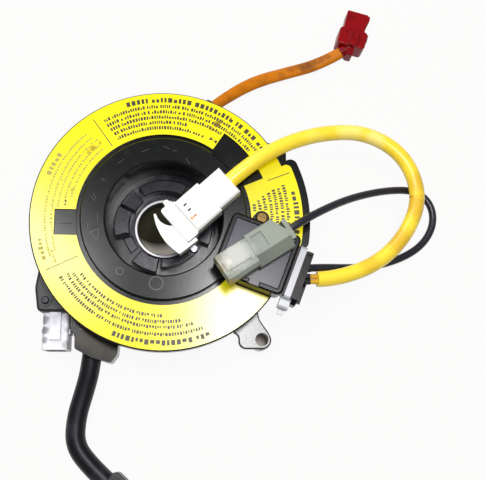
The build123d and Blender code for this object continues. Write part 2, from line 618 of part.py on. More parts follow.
red_plane = turned_plane(RED_LIFT, RED_ANGLE, RED_CENTRE)
red_front = RED_L / 2 + RED_NOSE_L
with BuildPart() as lead_connector:
    with BuildSketch(red_plane):
        RectangleRounded(RED_L, RED_W, RED_CORNER)
    extrude(amount=RED_H)
    with BuildSketch(red_plane.offset(RED_NOSE_DROP)):
        with Locations((red_front / 2, 0)):
            RectangleRounded(red_front, RED_NOSE_W, RED_EDGE)
    extrude(amount=RED_H - 2 * RED_NOSE_DROP)
    fillet(lead_connector.faces().sort_by(Axis.Z)[-1].edges(), RED_EDGE)
    # lip on one side of the nose, side rib that polarises it, and the tail
    with BuildSketch(red_plane.offset(RED_NOSE_DROP)):
        with Locations((RED_LIP_X, -RED_NOSE_W / 2)):
            RectangleRounded(RED_LIP_L, 2 * RED_LIP_REACH, RED_EDGE)
    extrude(amount=RED_H - 2 * RED_NOSE_DROP)
    with BuildSketch(red_plane.offset(RED_RIB_DROP)):
        with Locations((RED_L / 2 - RED_RIB_L / 2, -RED_W / 2)):
            Rectangle(RED_RIB_L, 2 * RED_RIB_REACH)
    extrude(amount=RED_H - 2 * RED_RIB_DROP)
    with BuildSketch(red_plane.offset(RED_TAIL_DROP)):
        with Locations((-RED_L / 2 - RED_TAIL_L / 2 + RED_EDGE, RED_TAIL_Y)):
            RectangleRounded(RED_TAIL_L + 2 * RED_EDGE, RED_TAIL_W, RED_EDGE)
    extrude(amount=RED_H - 2 * RED_TAIL_DROP)
    # boot that takes the lead
    with BuildSketch(
        Plane(origin=LEAD_ROUTE[-1], z_dir=Vector(*LEAD_ROUTE[-1]) - Vector(*LEAD_ROUTE[-2]))
    ):
        Circle(LEAD_R + RED_BOOT)
    extrude(amount=RED_BOOT_L)
    # two terminal openings in the nose
    with BuildSketch(across_plane(red_plane, red_front)):
        with Locations((0, RED_H / 2)):
            with GridLocations(RED_HOLE_PITCH, 1, 2, 1):
                Rectangle(RED_HOLE_W, RED_HOLE_H)
    extrude(amount=-RED_HOLE_D, mode=Mode.SUBTRACT)

with BuildPart() as lead_connector_lock:
    with BuildSketch(red_plane.offset(RED_H + PRESS_CLEAR)):
        with Locations((RED_LOCK_X, RED_TAIL_Y)):
            RectangleRounded(RED_LOCK_L, RED_LOCK_W, RED_LOCK_ROUND)
    extrude(amount=RED_LOCK_H)
    fillet(lead_connector_lock.edges().group_by(Axis.Z)[-1], TRIM_ROUND)

# Column-side harness in its sleeve, and its plug.
with BuildPart() as harness_sleeve:
    with BuildLine() as harness_line:
        FilletPolyline(*HARNESS_ROUTE, radius=arc_radii("harness_sleeve", HARNESS_ROUTE))
    with BuildSketch(Plane(origin=harness_line.line @ 0, z_dir=harness_line.line % 0)):
        Circle(HARNESS_R)
    sweep()
print_cord("harness_sleeve", harness_sleeve.part, harness_line.wire().length, HARNESS_R)

harness_end = plug_plane(HARNESS_ROUTE, PLUG_BOOT_H)
with BuildPart() as harness_plug:
    with BuildSketch(harness_end):
        with Locations((PLUG_BOOT_L / 2, PLUG_BOOT_SHIFT)):
            RectangleRounded(PLUG_BOOT_L, PLUG_BOOT_W, PLUG_BOOT_ROUND)
    extrude(amount=PLUG_BOOT_H)
    fillet(harness_plug.faces().sort_by(Axis.Z)[-1].edges(), PLUG_EDGE)
    with BuildSketch(harness_end):
        with Locations((PLUG_BOOT_L + PLUG_L / 2 - PLUG_BOOT_ROUND, 0)):
            RectangleRounded(PLUG_L, PLUG_W, PLUG_EDGE)
    extrude(amount=PLUG_H)
    with BuildSketch(harness_end.offset(PLUG_H)):
        with Locations((PLUG_BOOT_L + PLUG_L / 2 - PLUG_BOOT_ROUND, 0)):
            Rectangle(PLUG_LATCH_L, PLUG_LATCH_W)
    extrude(amount=PLUG_LATCH_H)

# ======================= rotor =======================

pocket_in_r = LABEL_IN_R + POCKET_MARGIN
with BuildPart() as rotor_disc:
    with BuildSketch(Plane.XZ):
        with BuildLine():
            Polyline(
                (HUB_R, CAM_TOP),
                (HUB_OUT_R, CAM_TOP),
                (HUB_OUT_R, DISC_Z),
                (LIP_R, DISC_Z),
                (LIP_R, DISC_Z - LIP_DROP),
                (DISC_R, DISC_Z - LIP_DROP),
                (DISC_R, DISC_TOP - DISC_EDGE),
                (DISC_R - DISC_EDGE, DISC_TOP),
                (ANNULUS_R + GROOVE_W, DISC_TOP),
                (ANNULUS_R + GROOVE_W, DISC_TOP - GROOVE_D),
                (ANNULUS_R, DISC_TOP - GROOVE_D),
                (ANNULUS_R, ANNULUS_TOP - ANNULUS_CHAMFER),
                (ANNULUS_R - ANNULUS_CHAMFER, ANNULUS_TOP),
                (HUB_R + ANNULUS_CHAMFER, ANNULUS_TOP),
                (HUB_R, ANNULUS_TOP - ANNULUS_CHAMFER),
                close=True,
            )
        make_face()
    revolve(axis=Axis.Z)
    # lobe of the disc
    with BuildSketch(Plane.XY.offset(DISC_Z)):
        add(ring_sector(LIP_R - LOBE_ROOT, LOBE_R, LOBE_FROM, LOBE_TO, LOBE_CORNER))
    extrude(amount=DISC_T)
    # level bed of the outlet box, cut into the raised ring
    with BuildSketch(turned_plane(DISC_TOP, BOX_ANGLE)):
        add(box_footprint(PRESS_CLEAR))
    extrude(amount=ANNULUS_RISE, mode=Mode.SUBTRACT)
    # pockets under the two label windows
    with BuildSketch(Plane.XY.offset(DISC_TOP)):
        with Locations((-(WINDOW_R + pocket_in_r) / 2, WINDOW_Y)):
            Rectangle(WINDOW_R - pocket_in_r, WINDOW_W)
        add(ring_sector(pocket_in_r, SECTOR_R, SECTOR_FROM, SECTOR_TO))
    extrude(amount=-POCKET_D, mode=Mode.SUBTRACT)
    # alignment bar in the left window
    with BuildSketch(Plane.XY.offset(DISC_TOP - POCKET_D)):
        with Locations((-(WINDOW_R + LABEL_IN_R) / 2, WINDOW_Y)):
            Rectangle(ALIGN_BAR_L, ALIGN_BAR_W)
    extrude(amount=POCKET_D - ALIGN_BAR_DROP)
    # ejector marks moulded in the raised ring
    with BuildSketch(Plane.XY.offset(ANNULUS_TOP)):
        with PolarLocations(EJECTOR_PITCH_R, EJECTOR_COUNT, start_angle=EJECTOR_START):
            Circle(EJECTOR_R)
    extrude(amount=-EJECTOR_D, mode=Mode.SUBTRACT)

# Printed sheet on the disc, cut away at the two windows, the outlet box and its lug.
with BuildPart() as face_label:
    with BuildSketch(Plane.XY.offset(DISC_TOP)):
        Circle(LABEL_R)
        add(
            ring_sector(
                LABEL_IN_R, LOBE_R - LABEL_RIM, LOBE_FROM, LOBE_TO - LABEL_LOBE_TURN,
                LOBE_CORNER - POCKET_MARGIN,
            )
        )
        Circle(LABEL_IN_R, mode=Mode.SUBTRACT)
        with Locations((-(WINDOW_R + ANNULUS_R) / 2, WINDOW_Y)):
            Rectangle(WINDOW_R - ANNULUS_R, WINDOW_W, mode=Mode.SUBTRACT)
        add(ring_sector(ANNULUS_R, SECTOR_R, SECTOR_FROM, SECTOR_TO), mode=Mode.SUBTRACT)
    extrude(amount=LABEL_T)
    with BuildSketch(turned_plane(DISC_TOP, BOX_ANGLE)):
        add(box_footprint(LABEL_GAP))
        with Locations(((BOX_OUT + FLANGE_U1) / 2, (NECK_V0 + NECK_V1) / 2)):
            Rectangle(FLANGE_U1 - BOX_OUT + 2 * TIE_T, NECK_V1 - NECK_V0 + 4 * TIE_T)
        with Locations((LUG_U, LUG_V)):
            Circle(LUG_R + LABEL_GAP)
        with Locations((LUG_U, LUG_V - LUG_R / 2)):
            Rectangle(2 * (LUG_R + LABEL_GAP), LUG_R + LABEL_GAP)
    extrude(amount=LABEL_T, mode=Mode.SUBTRACT)

# Cancel cam: closes the bottom of the well, grips under the case floor, and carries the
# stepped blocks round the shaft bore and the two turn-signal lugs below.
collar_out_r = SHAFT_R + SHAFT_WALL
with BuildPart() as cam_blocks:
    for start, end, inner, outer, top in CAM_BLOCKS:
        with BuildSketch(Plane.XY.offset(CAM_FLOOR_TOP)):
            add(ring_sector(inner, outer, start, end))
        extrude(amount=top - CAM_FLOOR_TOP)
    tops = cam_blocks.faces().filter_by(Axis.Z).filter_by(lambda face: face.normal_at().Z > 0)
    chamfer(tops.edges(), CAM_BLOCK_EDGE)

with BuildPart() as cancel_cam:
    with BuildSketch(Plane.XZ):
        with BuildLine():
            Polyline(
                (collar_out_r + PRESS_CLEAR, CAM_FLOOR_Z),
                (CAM_R, CAM_FLOOR_Z),
                (CAM_R, CAM_TOP),
                (CAM_RIM_R, CAM_TOP),
                (CAM_RIM_R, CAM_FLOOR_TOP),
                (collar_out_r + PRESS_CLEAR, CAM_FLOOR_TOP),
                close=True,
            )
        make_face()
    revolve(axis=Axis.Z)
    add(cam_blocks.part)
    for angle in CAM_BOSS_ANGLES:
        with BuildSketch(Plane.XY.offset(CAM_BLOCKS[CAM_BOSS_BLOCK][4])):
            with Locations(polar(CAM_BOSS_PITCH_R, angle)):
                Circle(CAM_BOSS_R)
        extrude(amount=CAM_BOSS_H)
    with BuildSketch(Plane.XY.offset(CAM_LUG_Z)):
        for middle in (0, 180):
            add(ring_sector(HUB_R, CAM_R, middle - CAM_LUG_ANGLE, middle + CAM_LUG_ANGLE))
    extrude(amount=CAM_FLOOR_Z - CAM_LUG_Z)

with BuildPart() as shaft_collar:
    with BuildSketch(Plane.XY):
        Circle(collar_out_r)
        Circle(SHAFT_R, mode=Mode.SUBTRACT)
    extrude(amount=SHAFT_TOP)
    chamfer(shaft_collar.faces().sort_by(Axis.Z)[-1].edges(), SHAFT_CHAMFER)

hub_screw_z = CAM_BLOCKS[HUB_SCREW_BLOCK][4]
hub_screw_at = polar(HUB_SCREW_PITCH_R, HUB_SCREW_ANGLE)
with BuildPart() as hub_screw:
    with BuildSketch(Plane.XY.offset(hub_screw_z)):
        with Locations(hub_screw_at):
            Circle(SCREW_HEAD_R)
    extrude(amount=SCREW_HEAD_H)
    fillet(hub_screw.edges().group_by(Axis.Z)[-1], HEAD_ROUND)
    with BuildSketch(Plane.XY.offset(hub_screw_z + SCREW_HEAD_H)):
        with Locations(hub_screw_at):
            screw_recess(SCREW_HEAD_R)
    extrude(amount=-SCREW_SLOT_D, mode=Mode.SUBTRACT)

# Outlet box with its neck and end flange.
box_top = DISC_TOP + BOX_H
lid_seat = box_top - LID_DEPTH
slot_z0 = WIRE_Z - SLOT_H / 2
box_across = across_plane(turned_plane(0, BOX_ANGLE))
neck_mid_v = (NECK_V0 + NECK_V1) / 2
with BuildPart() as outlet_box:
    with BuildSketch(turned_plane(DISC_TOP, BOX_ANGLE)):
        add(box_footprint())
    extrude(amount=BOX_H)
    fillet(outlet_box.faces().sort_by(Axis.Z)[-1].edges(), BOX_EDGE)
    with BuildSketch(turned_plane(DISC_TOP, BOX_ANGLE)):
        with Locations((LUG_U, LUG_V)):
            Circle(LUG_R)
        with Locations((LUG_U, LUG_V - LUG_R / 2)):
            Rectangle(2 * LUG_R, LUG_R + LUG_ROOT)
    extrude(amount=LUG_H)
    with BuildSketch(turned_plane(NECK_Z0, BOX_ANGLE)):
        with Locations(((BOX_OUT - NECK_ROOT + FLANGE_U1) / 2, neck_mid_v)):
            Rectangle(FLANGE_U1 - BOX_OUT + NECK_ROOT, NECK_V1 - NECK_V0)
    extrude(amount=NECK_H)
    # end flange with bevelled corners, and the foot under the wires
    with BuildSketch(box_across.offset(FLANGE_U0)) as flange:
        with Locations(((FLANGE_V0 + FLANGE_V1) / 2, FLANGE_Z0 + FLANGE_H / 2)):
            Rectangle(FLANGE_V1 - FLANGE_V0, FLANGE_H)
        chamfer(flange.vertices(), FLANGE_BEVEL)
    extrude(amount=FLANGE_T)
    with BuildSketch(turned_plane(FLANGE_Z0, BOX_ANGLE)):
        with Locations((FLANGE_U1 + FOOT_REACH / 2 - FOOT_ROOT, FLANGE_V0 + FOOT_V)):
            Rectangle(FOOT_REACH + 2 * FOOT_ROOT, FOOT_W)
    extrude(amount=FOOT_T)
    # hollow, lid rim, latch notch and wire slot
    with BuildSketch(turned_plane(DISC_TOP + BOX_FLOOR_T, BOX_ANGLE)):
        add(box_footprint(-BOX_WALL))
    extrude(amount=BOX_H, mode=Mode.SUBTRACT)
    with BuildSketch(turned_plane(lid_seat, BOX_ANGLE)):
        add(box_footprint(-BOX_RIM))
    extrude(amount=BOX_H, mode=Mode.SUBTRACT)
    with BuildSketch(turned_plane(lid_seat, BOX_ANGLE)):
        with Locations((LATCH_U + LATCH_W / 2, BOX_V0 + BOX_WALL / 2)):
            Rectangle(LATCH_W, 2 * BOX_WALL)
    extrude(amount=BOX_H, mode=Mode.SUBTRACT)
    with BuildSketch(turned_plane(slot_z0, BOX_ANGLE)):
        with Locations(((BOX_OUT - 2 * BOX_WALL + FLANGE_U1 + SLOT_H) / 2, (SLOT_V0 + SLOT_V1) / 2)):
            Rectangle(FLANGE_U1 + SLOT_H - BOX_OUT + 2 * BOX_WALL, SLOT_V1 - SLOT_V0)
    extrude(amount=SLOT_H, mode=Mode.SUBTRACT)

with BuildPart() as outlet_lid:
    with BuildSketch(turned_plane(lid_seat, BOX_ANGLE)):
        add(box_footprint(-BOX_RIM - LID_CLEAR))
    extrude(amount=LID_T)
    with BuildSketch(turned_plane(lid_seat, BOX_ANGLE)):
        with Locations((LATCH_U + LATCH_W / 2, BOX_V0 + BOX_WALL)):
            Rectangle(LATCH_W - 2 * LID_CLEAR, 2 * BOX_WALL - 2 * LID_CLEAR)
    extrude(amount=LID_T)
    fillet(outlet_lid.faces().sort_by(Axis.Z)[-1].edges(), LID_EDGE)
    with BuildSketch(turned_plane(lid_seat - LID_PLUG_T, BOX_ANGLE)):
        add(box_footprint(-BOX_WALL - LID_CLEAR))
    extrude(amount=LID_PLUG_T)

lug_top = DISC_TOP + LUG_H
with BuildPart() as outlet_screw:
    with BuildSketch(turned_plane(lug_top, BOX_ANGLE)):
        with Locations((LUG_U, LUG_V)):
            Circle(LUG_SCREW_R)
    extrude(amount=LUG_SCREW_H)
    fillet(outlet_screw.edges().group_by(Axis.Z)[-1], HEAD_ROUND)
    with BuildSketch(turned_plane(lug_top + LUG_SCREW_H, BOX_ANGLE)):
        with Locations((LUG_U, LUG_V)):
            screw_recess(LUG_SCREW_R)
    extrude(amount=-SCREW_SLOT_D, mode=Mode.SUBTRACT)

# Rubber block in the slot, with a short boot for each wire.
sleeve_start = Vector(*YELLOW_ROUTE[0])
sleeve_run = (Vector(*YELLOW_ROUTE[1]) - sleeve_start).normalized()
sleeve_across = Vector(0, 0, 1).cross(sleeve_run).normalized()
airbag_starts = [
    sleeve_start - sleeve_run * AIRBAG_WIRE_L + sleeve_across * side
    for side in (-AIRBAG_WIRE_SPREAD, AIRBAG_WIRE_SPREAD)
]
horn_start = Vector(*HORN_ROUTE[0])
horn_run = (Vector(*HORN_ROUTE[1]) - horn_start).normalized()
with BuildPart() as wire_grommet:
    with BuildSketch(turned_plane(slot_z0 + PRESS_CLEAR, BOX_ANGLE)):
        with Locations(((BOX_OUT + FLANGE_U1) / 2, (SLOT_V0 + SLOT_V1) / 2)):
            Rectangle(FLANGE_U1 - BOX_OUT, SLOT_V1 - SLOT_V0 - 2 * PRESS_CLEAR)
    extrude(amount=SLOT_H - 2 * PRESS_CLEAR)
    for start in airbag_starts:
        with BuildSketch(Plane(origin=start, z_dir=-sleeve_run)):
            Circle(AIRBAG_WIRE_R + BOOT_T)
        extrude(amount=BOOT_L)
    with BuildSketch(Plane(origin=horn_start, z_dir=-horn_run)):
        Circle(HORN_WIRE_R + BOOT_T)
    extrude(amount=BOOT_L)

# Terminal block in the box, and the leads from it to the grommet.
terminal_z0 = DISC_TOP + BOX_FLOOR_T
with BuildPart() as terminal_block:
    with BuildSketch(turned_plane(terminal_z0, BOX_ANGLE)):
        with Locations(((TERMINAL_U0 + TERMINAL_U1) / 2, TERMINAL_V)):
            Rectangle(TERMINAL_U1 - TERMINAL_U0, TERMINAL_W)
    extrude(amount=TERMINAL_H)

with BuildPart() as inner_leads:
    with BuildSketch(box_across.offset(TERMINAL_U1)):
        with Locations(
            (AIRBAG_WIRE_V - AIRBAG_WIRE_SPREAD, WIRE_Z),
            (AIRBAG_WIRE_V + AIRBAG_WIRE_SPREAD, WIRE_Z),
            (HORN_WIRE_V, WIRE_Z),
        ):
            Circle(AIRBAG_WIRE_R)
    extrude(amount=BOX_OUT - TERMINAL_U1)

# Cable tie: strap round the neck, head and cut tail.
neck_w = NECK_V1 - NECK_V0
strap_mid_z = NECK_Z0 + NECK_H / 2
head_u = BOX_OUT + (NECK_L - TIE_HEAD_W) / 2
with BuildPart() as cable_tie:
    with BuildSketch(box_across.offset(TIE_U)):
        with Locations((neck_mid_v, strap_mid_z)):
            RectangleRounded(neck_w + 2 * TIE_T, NECK_H + 2 * TIE_T, TIE_T)
            Rectangle(neck_w, NECK_H, mode=Mode.SUBTRACT)
        with Locations((NECK_V0 - TIE_HEAD_L - TIE_TAIL / 2, strap_mid_z - TIE_SHIFT)):
            Rectangle(TIE_TAIL + 2 * TIE_T, TIE_TAIL_T)
    extrude(amount=TIE_W)
    with BuildSketch(box_across.offset(head_u)):
        with Locations((NECK_V0 - (TIE_T + TIE_HEAD_L) / 2, strap_mid_z + TIE_SHIFT)):
            RectangleRounded(TIE_HEAD_L, TIE_HEAD_H, TIE_HEAD_ROUND)
    extrude(amount=TIE_HEAD_W)

with BuildPart() as inner_clamp:
    with BuildSketch(Plane.XY.offset(RIBBON_Z0)):
        add(ring_sector(HUB_OUT_R + PRESS_CLEAR, RIBBON_IN_R - RUN_GAP, 0, CLAMP_ANGLE))
    extrude(amount=RIBBON_Z1 - RIBBON_Z0)

# Yellow sleeve over the two airbag wires, and its white connector with the curved lock.
with BuildPart() as airbag_wires:
    for start in airbag_starts:
        with BuildSketch(Plane(origin=start, z_dir=sleeve_run)):
            Circle(AIRBAG_WIRE_R)
        extrude(amount=AIRBAG_WIRE_L)

with BuildPart() as yellow_sleeve:
    with BuildLine() as sleeve_line:
        FilletPolyline(*YELLOW_ROUTE, radius=arc_radii("yellow_sleeve", YELLOW_ROUTE))
    with BuildSketch(Plane(origin=sleeve_line.line @ 0, z_dir=sleeve_line.line % 0)):
        Circle(SLEEVE_R)
    sweep()
print_cord("yellow_sleeve", yellow_sleeve.part, sleeve_line.wire().length, SLEEVE_R)

squib_plane = plug_plane(YELLOW_ROUTE, SQUIB_H)
squib_slots = [(SQUIB_SLOT_X, slot_y) for slot_y in SQUIB_SLOT_YS]
squib_ribs = [(SQUIB_RIB_X, side * SQUIB_RIB_Y) for side in (-1, 1)]
with BuildPart() as squib_connector:
    with BuildSketch(squib_plane):
        with Locations(((SQUIB_REAR_L + HEAD_X0) / 2, 0)):
            Rectangle(HEAD_X0 - SQUIB_REAR_L, SQUIB_W)
        with Locations((SQUIB_REAR_L / 2, SQUIB_REAR_SHIFT)):
            Rectangle(SQUIB_REAR_L, SQUIB_REAR_W)
    extrude(amount=SQUIB_H)
    chamfer(squib_connector.faces().sort_by(Axis.Z)[-1].edges(), SQUIB_EDGE)
    # head across the front, with a nose on one end
    with BuildSketch(squib_plane.offset(HEAD_LIFT)):
        with Locations(((HEAD_X0 + HEAD_X1) / 2, (HEAD_Y0 + HEAD_Y1) / 2)):
            RectangleRounded(HEAD_X1 - HEAD_X0, HEAD_Y1 - HEAD_Y0, HEAD_CORNER)
        with Locations((HEAD_NOSE_X, HEAD_Y0)):
            RectangleRounded(HEAD_NOSE_L, 2 * HEAD_NOSE_REACH, HEAD_CORNER / 2)
        with Locations((HEAD_X0, (HEAD_Y0 + HEAD_Y1) / 2)):
            Rectangle(2 * HEAD_CORNER, HEAD_Y1 - HEAD_Y0 - 2 * HEAD_CORNER)
    extrude(amount=HEAD_H)
    # ribs along the top, terminal slots and the openings in the head
    with BuildSketch(squib_plane.offset(SQUIB_H)):
        with Locations(*squib_ribs):
            Rectangle(SQUIB_RIB_L, SQUIB_RIB_W)
    extrude(amount=SQUIB_RIB_H)
    with BuildSketch(squib_plane.offset(SQUIB_H)):
        with Locations(*squib_slots):
            Rectangle(SQUIB_SLOT_L, SQUIB_SLOT_W)
    extrude(amount=-SQUIB_SLOT_D, mode=Mode.SUBTRACT)
    with BuildSketch(squib_plane.offset(HEAD_LIFT + HEAD_H)):
        with Locations(*HEAD_HOLES):
            Circle(HEAD_HOLE_R)
    extrude(amount=-HEAD_HOLE_D, mode=Mode.SUBTRACT)

lock_root_x = HEAD_X1 + PRESS_CLEAR
lock_tip, lock_belly, lock_heel, lock_slit, lock_tip_in = from_point(
    (lock_root_x, 0), [LOCK_TIP, LOCK_BELLY, LOCK_HEEL, LOCK_SLIT, LOCK_TIP_IN]
)
hook_y = HEAD_Y1 + LOCK_GAP
lock_corners = [
    lock_heel,
    (lock_root_x + LOCK_HOOK_X, hook_y + LOCK_HOOK_T),
    (lock_root_x + LOCK_HOOK_X, hook_y),
    (lock_root_x, hook_y),
    (lock_root_x, LOCK_ROOT_Y),
]
with BuildPart() as squib_lock:
    with BuildSketch(squib_plane.offset(LOCK_LIFT)):
        with BuildLine():
            ThreePointArc(lock_tip, lock_belly, lock_heel)
            Polyline(*lock_corners)
            ThreePointArc(lock_corners[-1], lock_slit, lock_tip_in)
            Line(lock_tip_in, lock_tip)
        make_face()
    extrude(amount=LOCK_H)

# Horn wire and its clear connector.
with BuildPart() as horn_wire:
    with BuildLine() as horn_line:
        FilletPolyline(*HORN_ROUTE, radius=arc_radii("horn_wire", HORN_ROUTE))
    with BuildSketch(Plane(origin=horn_line.line @ 0, z_dir=horn_line.line % 0)):
        Circle(HORN_WIRE_R)
    sweep()
print_cord("horn_wire", horn_wire.part, horn_line.wire().length, HORN_WIRE_R)

horn_plane = plug_plane(HORN_ROUTE, HORN_H)
horn_length = HORN_BOSS_L + HORN_REAR_L + HORN_FRONT_L
horn_front_h = HORN_H - HORN_STEP
mouth_at = (0, HORN_H / 2 - HORN_STEP)
with BuildPart() as horn_connector:
    # rear half: a wide slope down one side from a ridge
    with BuildSketch(across_plane(horn_plane, HORN_BOSS_L)) as rear_section:
        with BuildLine():
            Polyline(
                (-HORN_REAR_W / 2, 0),
                (HORN_REAR_W / 2, 0),
                (HORN_REAR_W / 2, HORN_SHELF_H),
                (HORN_REAR_W / 2 - HORN_BEVEL, HORN_H),
                (-HORN_REAR_W / 2, HORN_H),
                close=True,
            )
        make_face()
        fillet(rear_section.vertices(), HORN_CORNER)
    extrude(amount=HORN_REAR_L)
    # front half: narrower, with a small bevel
    with BuildSketch(across_plane(horn_plane, HORN_BOSS_L + HORN_REAR_L)) as front_section:
        with BuildLine():
            Polyline(
                (-HORN_FRONT_W / 2, HORN_STEP),
                (HORN_FRONT_W / 2, HORN_STEP),
                (HORN_FRONT_W / 2, horn_front_h - HORN_FRONT_BEVEL),
                (HORN_FRONT_W / 2 - HORN_FRONT_BEVEL, horn_front_h),
                (-HORN_FRONT_W / 2, horn_front_h),
                close=True,
            )
        make_face()
        fillet(front_section.vertices(), HORN_CORNER)
    extrude(amount=HORN_FRONT_L)
    with BuildSketch(across_plane(horn_plane)):
        with Locations((0, HORN_H / 2)):
            Rectangle(HORN_BOSS_W, HORN_BOSS_H)
    extrude(amount=HORN_BOSS_L)
    # slanted rear corner
    with BuildSketch(horn_plane):
        with BuildLine():
            Polyline(
                (HORN_BOSS_L, -HORN_REAR_W / 2),
                (HORN_BOSS_L + HORN_SLANT_X, -HORN_REAR_W / 2),
                (HORN_BOSS_L, -HORN_REAR_W / 2 + HORN_SLANT_Y),
                close=True,
            )
        make_face()
    extrude(amount=HORN_H, mode=Mode.SUBTRACT)
    # open mouth, with the female terminal set back in it
    with BuildSketch(across_plane(horn_plane, horn_length)):
        with Locations(mouth_at):
            RectangleRounded(
                HORN_FRONT_W - 2 * HORN_MOUTH_WALL,
                horn_front_h - 2 * HORN_MOUTH_WALL - HORN_FRONT_BEVEL,
                HORN_CORNER,
            )
    extrude(amount=-HORN_MOUTH, mode=Mode.SUBTRACT)
    # sunk window behind the step, and the locking arm along the front half
    with BuildSketch(horn_plane.offset(HORN_H)):
        with Locations((HORN_BOSS_L + HORN_REAR_L - HORN_WINDOW_X, HORN_WINDOW_Y)):
            Rectangle(HORN_WINDOW_L, HORN_WINDOW_W)
    extrude(amount=-HORN_WINDOW_D, mode=Mode.SUBTRACT)
    with BuildSketch(horn_plane.offset(horn_front_h)):
        with Locations((horn_length - HORN_ARM_SETBACK - HORN_ARM_L / 2, HORN_ARM_Y)):
            RectangleRounded(HORN_ARM_L, HORN_ARM_W, HORN_CORNER)
    extrude(amount=HORN_ARM_H)

with BuildPart() as horn_terminal:
    with BuildSketch(across_plane(horn_plane, horn_length - HORN_MOUTH)):
        with Locations(mouth_at):
            Rectangle(HORN_TAB_W, HORN_TAB_H)
            Rectangle(HORN_TAB_W - 2 * HORN_TAB_WALL, HORN_TAB_H - 2 * HORN_TAB_WALL, mode=Mode.SUBTRACT)
    extrude(amount=HORN_TAB_OUT)

# ======================= export =======================
pieces = {
    "stator_case": stator_case,
    "connector_cover": connector_cover,
    "cover_screw": cover_screw,
    "column_connector": column_connector,
    "column_pins": column_pins,
    "glide_sheet": glide_sheet,
    "ribbon_cable": ribbon_cable,
    "outer_clamp": outer_clamp,
    "airbag_lead": airbag_lead,
    "lead_connector": lead_connector,
    "lead_connector_lock": lead_connector_lock,
    "harness_sleeve": harness_sleeve,
    "harness_plug": harness_plug,
    "rotor_disc": rotor_disc,
    "face_label": face_label,
    "cancel_cam": cancel_cam,
    "shaft_collar": shaft_collar,
    "hub_screw": hub_screw,
    "outlet_box": outlet_box,
    "outlet_lid": outlet_lid,
    "outlet_screw": outlet_screw,
    "wire_grommet": wire_grommet,
    "terminal_block": terminal_block,
    "inner_leads": inner_leads,
    "inner_clamp": inner_clamp,
    "cable_tie": cable_tie,
    "airbag_wires": airbag_wires,
    "yellow_sleeve": yellow_sleeve,
    "squib_connector": squib_connector,
    "squib_lock": squib_lock,
    "horn_wire": horn_wire,
    "horn_connector": horn_connector,
    "horn_terminal": horn_terminal,
}

os.makedirs("parts", exist_ok=True)
for name, piece in pieces.items():
    piece.part.label = name
    export_step(piece.part, f"parts/{name}.step")
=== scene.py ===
import math

import bpy
import numpy as np
from mathutils import Matrix, Quaternion, Vector
from mathutils.bvhtree import BVHTree


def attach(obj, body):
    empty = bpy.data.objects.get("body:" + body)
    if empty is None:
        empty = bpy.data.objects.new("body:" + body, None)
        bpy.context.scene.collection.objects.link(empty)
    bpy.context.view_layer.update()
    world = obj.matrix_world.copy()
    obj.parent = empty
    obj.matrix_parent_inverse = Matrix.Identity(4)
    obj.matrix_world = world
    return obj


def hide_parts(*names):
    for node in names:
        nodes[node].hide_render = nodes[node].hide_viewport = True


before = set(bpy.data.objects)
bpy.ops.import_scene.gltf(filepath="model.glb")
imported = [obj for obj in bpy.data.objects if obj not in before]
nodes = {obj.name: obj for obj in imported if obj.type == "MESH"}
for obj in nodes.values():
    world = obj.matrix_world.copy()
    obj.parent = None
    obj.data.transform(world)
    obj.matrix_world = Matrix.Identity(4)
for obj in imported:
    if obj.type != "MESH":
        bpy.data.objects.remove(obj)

scene = bpy.context.scene
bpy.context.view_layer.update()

MM = 0.001
PRINT_LIFT = 0.02               # mm that print and marks lie above their surface
BAND_LIFT = 0.05                # mm that a band lies outside its cord

# Patches of colour seen from above, stains and on some parts painted light: x, y and radius in millimetres,
# strength and colour.
LABEL_STAINS = [
    (21.5, 41.2, 2.2, 0.85, "7a4a14"), (19.4, 38.9, 1.5, 0.7, "8a5a18"), (23.2, 42.6, 1.0, 0.7, "7a4a14"),
    (-29.9, 29.2, 1.9, 0.65, "8a5a18"), (-31.5, 27.4, 1.5, 0.5, "8a5a18"), (-27.1, 31.4, 1.2, 0.5, "8a5a18"),
    (-37.7, 11.0, 1.3, 0.5, "4a3a10"), (-47.6, -10.1, 1.6, 0.4, "a89850"), (-42.0, 15.1, 1.0, 0.4, "8a5a18"),
    (27.4, 44.1, 0.9, 0.5, "7a4a14"), (-8.7, -42.0, 1.2, 0.3, "a89810"), (-34.5, -46.2, 1.4, 0.35, "a08a18"),
]
# On the case: brown patches at its lower left, under the disc's edge.
CASE_BROWN_PATCHES = [
    (-26.2, -51.1, 7, 0.8, "3a3018"), (-20.4, -53.9, 6, 0.8, "322814"), (-32.0, -48.2, 5, 0.6, "463a20"),
    (-46.4, -34.8, 3, 0.5, "4a4436"),
]
LEAD_STAINS = [
    (52.0, 73.6, 2.6, 0.45, "8f5116"), (56.3, 76.9, 2.8, 0.5, "80481a"), (62.4, 78.1, 2.6, 0.5, "70401a"),
    (65.2, 79.2, 2.4, 0.5, "683a16"), (68.1, 80.7, 2.4, 0.5, "683a16"), (70.9, 82.2, 2.4, 0.5, "683a16"),
    (73.6, 83.6, 2.3, 0.5, "704016"), (43.0, 69.5, 3.2, 0.35, "a8640f"), (34.0, 64.6, 2.4, 0.35, "a05c10"),
]
# On the yellow sleeve: ochre patches and small grease flecks, and three pale lemon patches at the top of the
# loop that are painted highlights.
SLEEVE_STAINS_AND_HIGHLIGHTS = [
    (108.7, 18.0, 8, 0.45, "d09428"), (106.3, 5.6, 8, 0.5, "d09428"), (97.5, -8.4, 8, 0.5, "cf9226"),
    (84.2, -18.8, 6, 0.35, "cf9226"), (78.0, -28.1, 1.1, 0.6, "96601c"), (67.6, -28.7, 1.0, 0.6, "96601c"),
    (103.6, 10.8, 1.0, 0.6, "a87020"), (77.6, 38.7, 8, 0.6, "fff08c"), (88.5, 35.0, 6, 0.55, "fff29a"),
    (62.2, 33.1, 6, 0.4, "ffef70"),
]
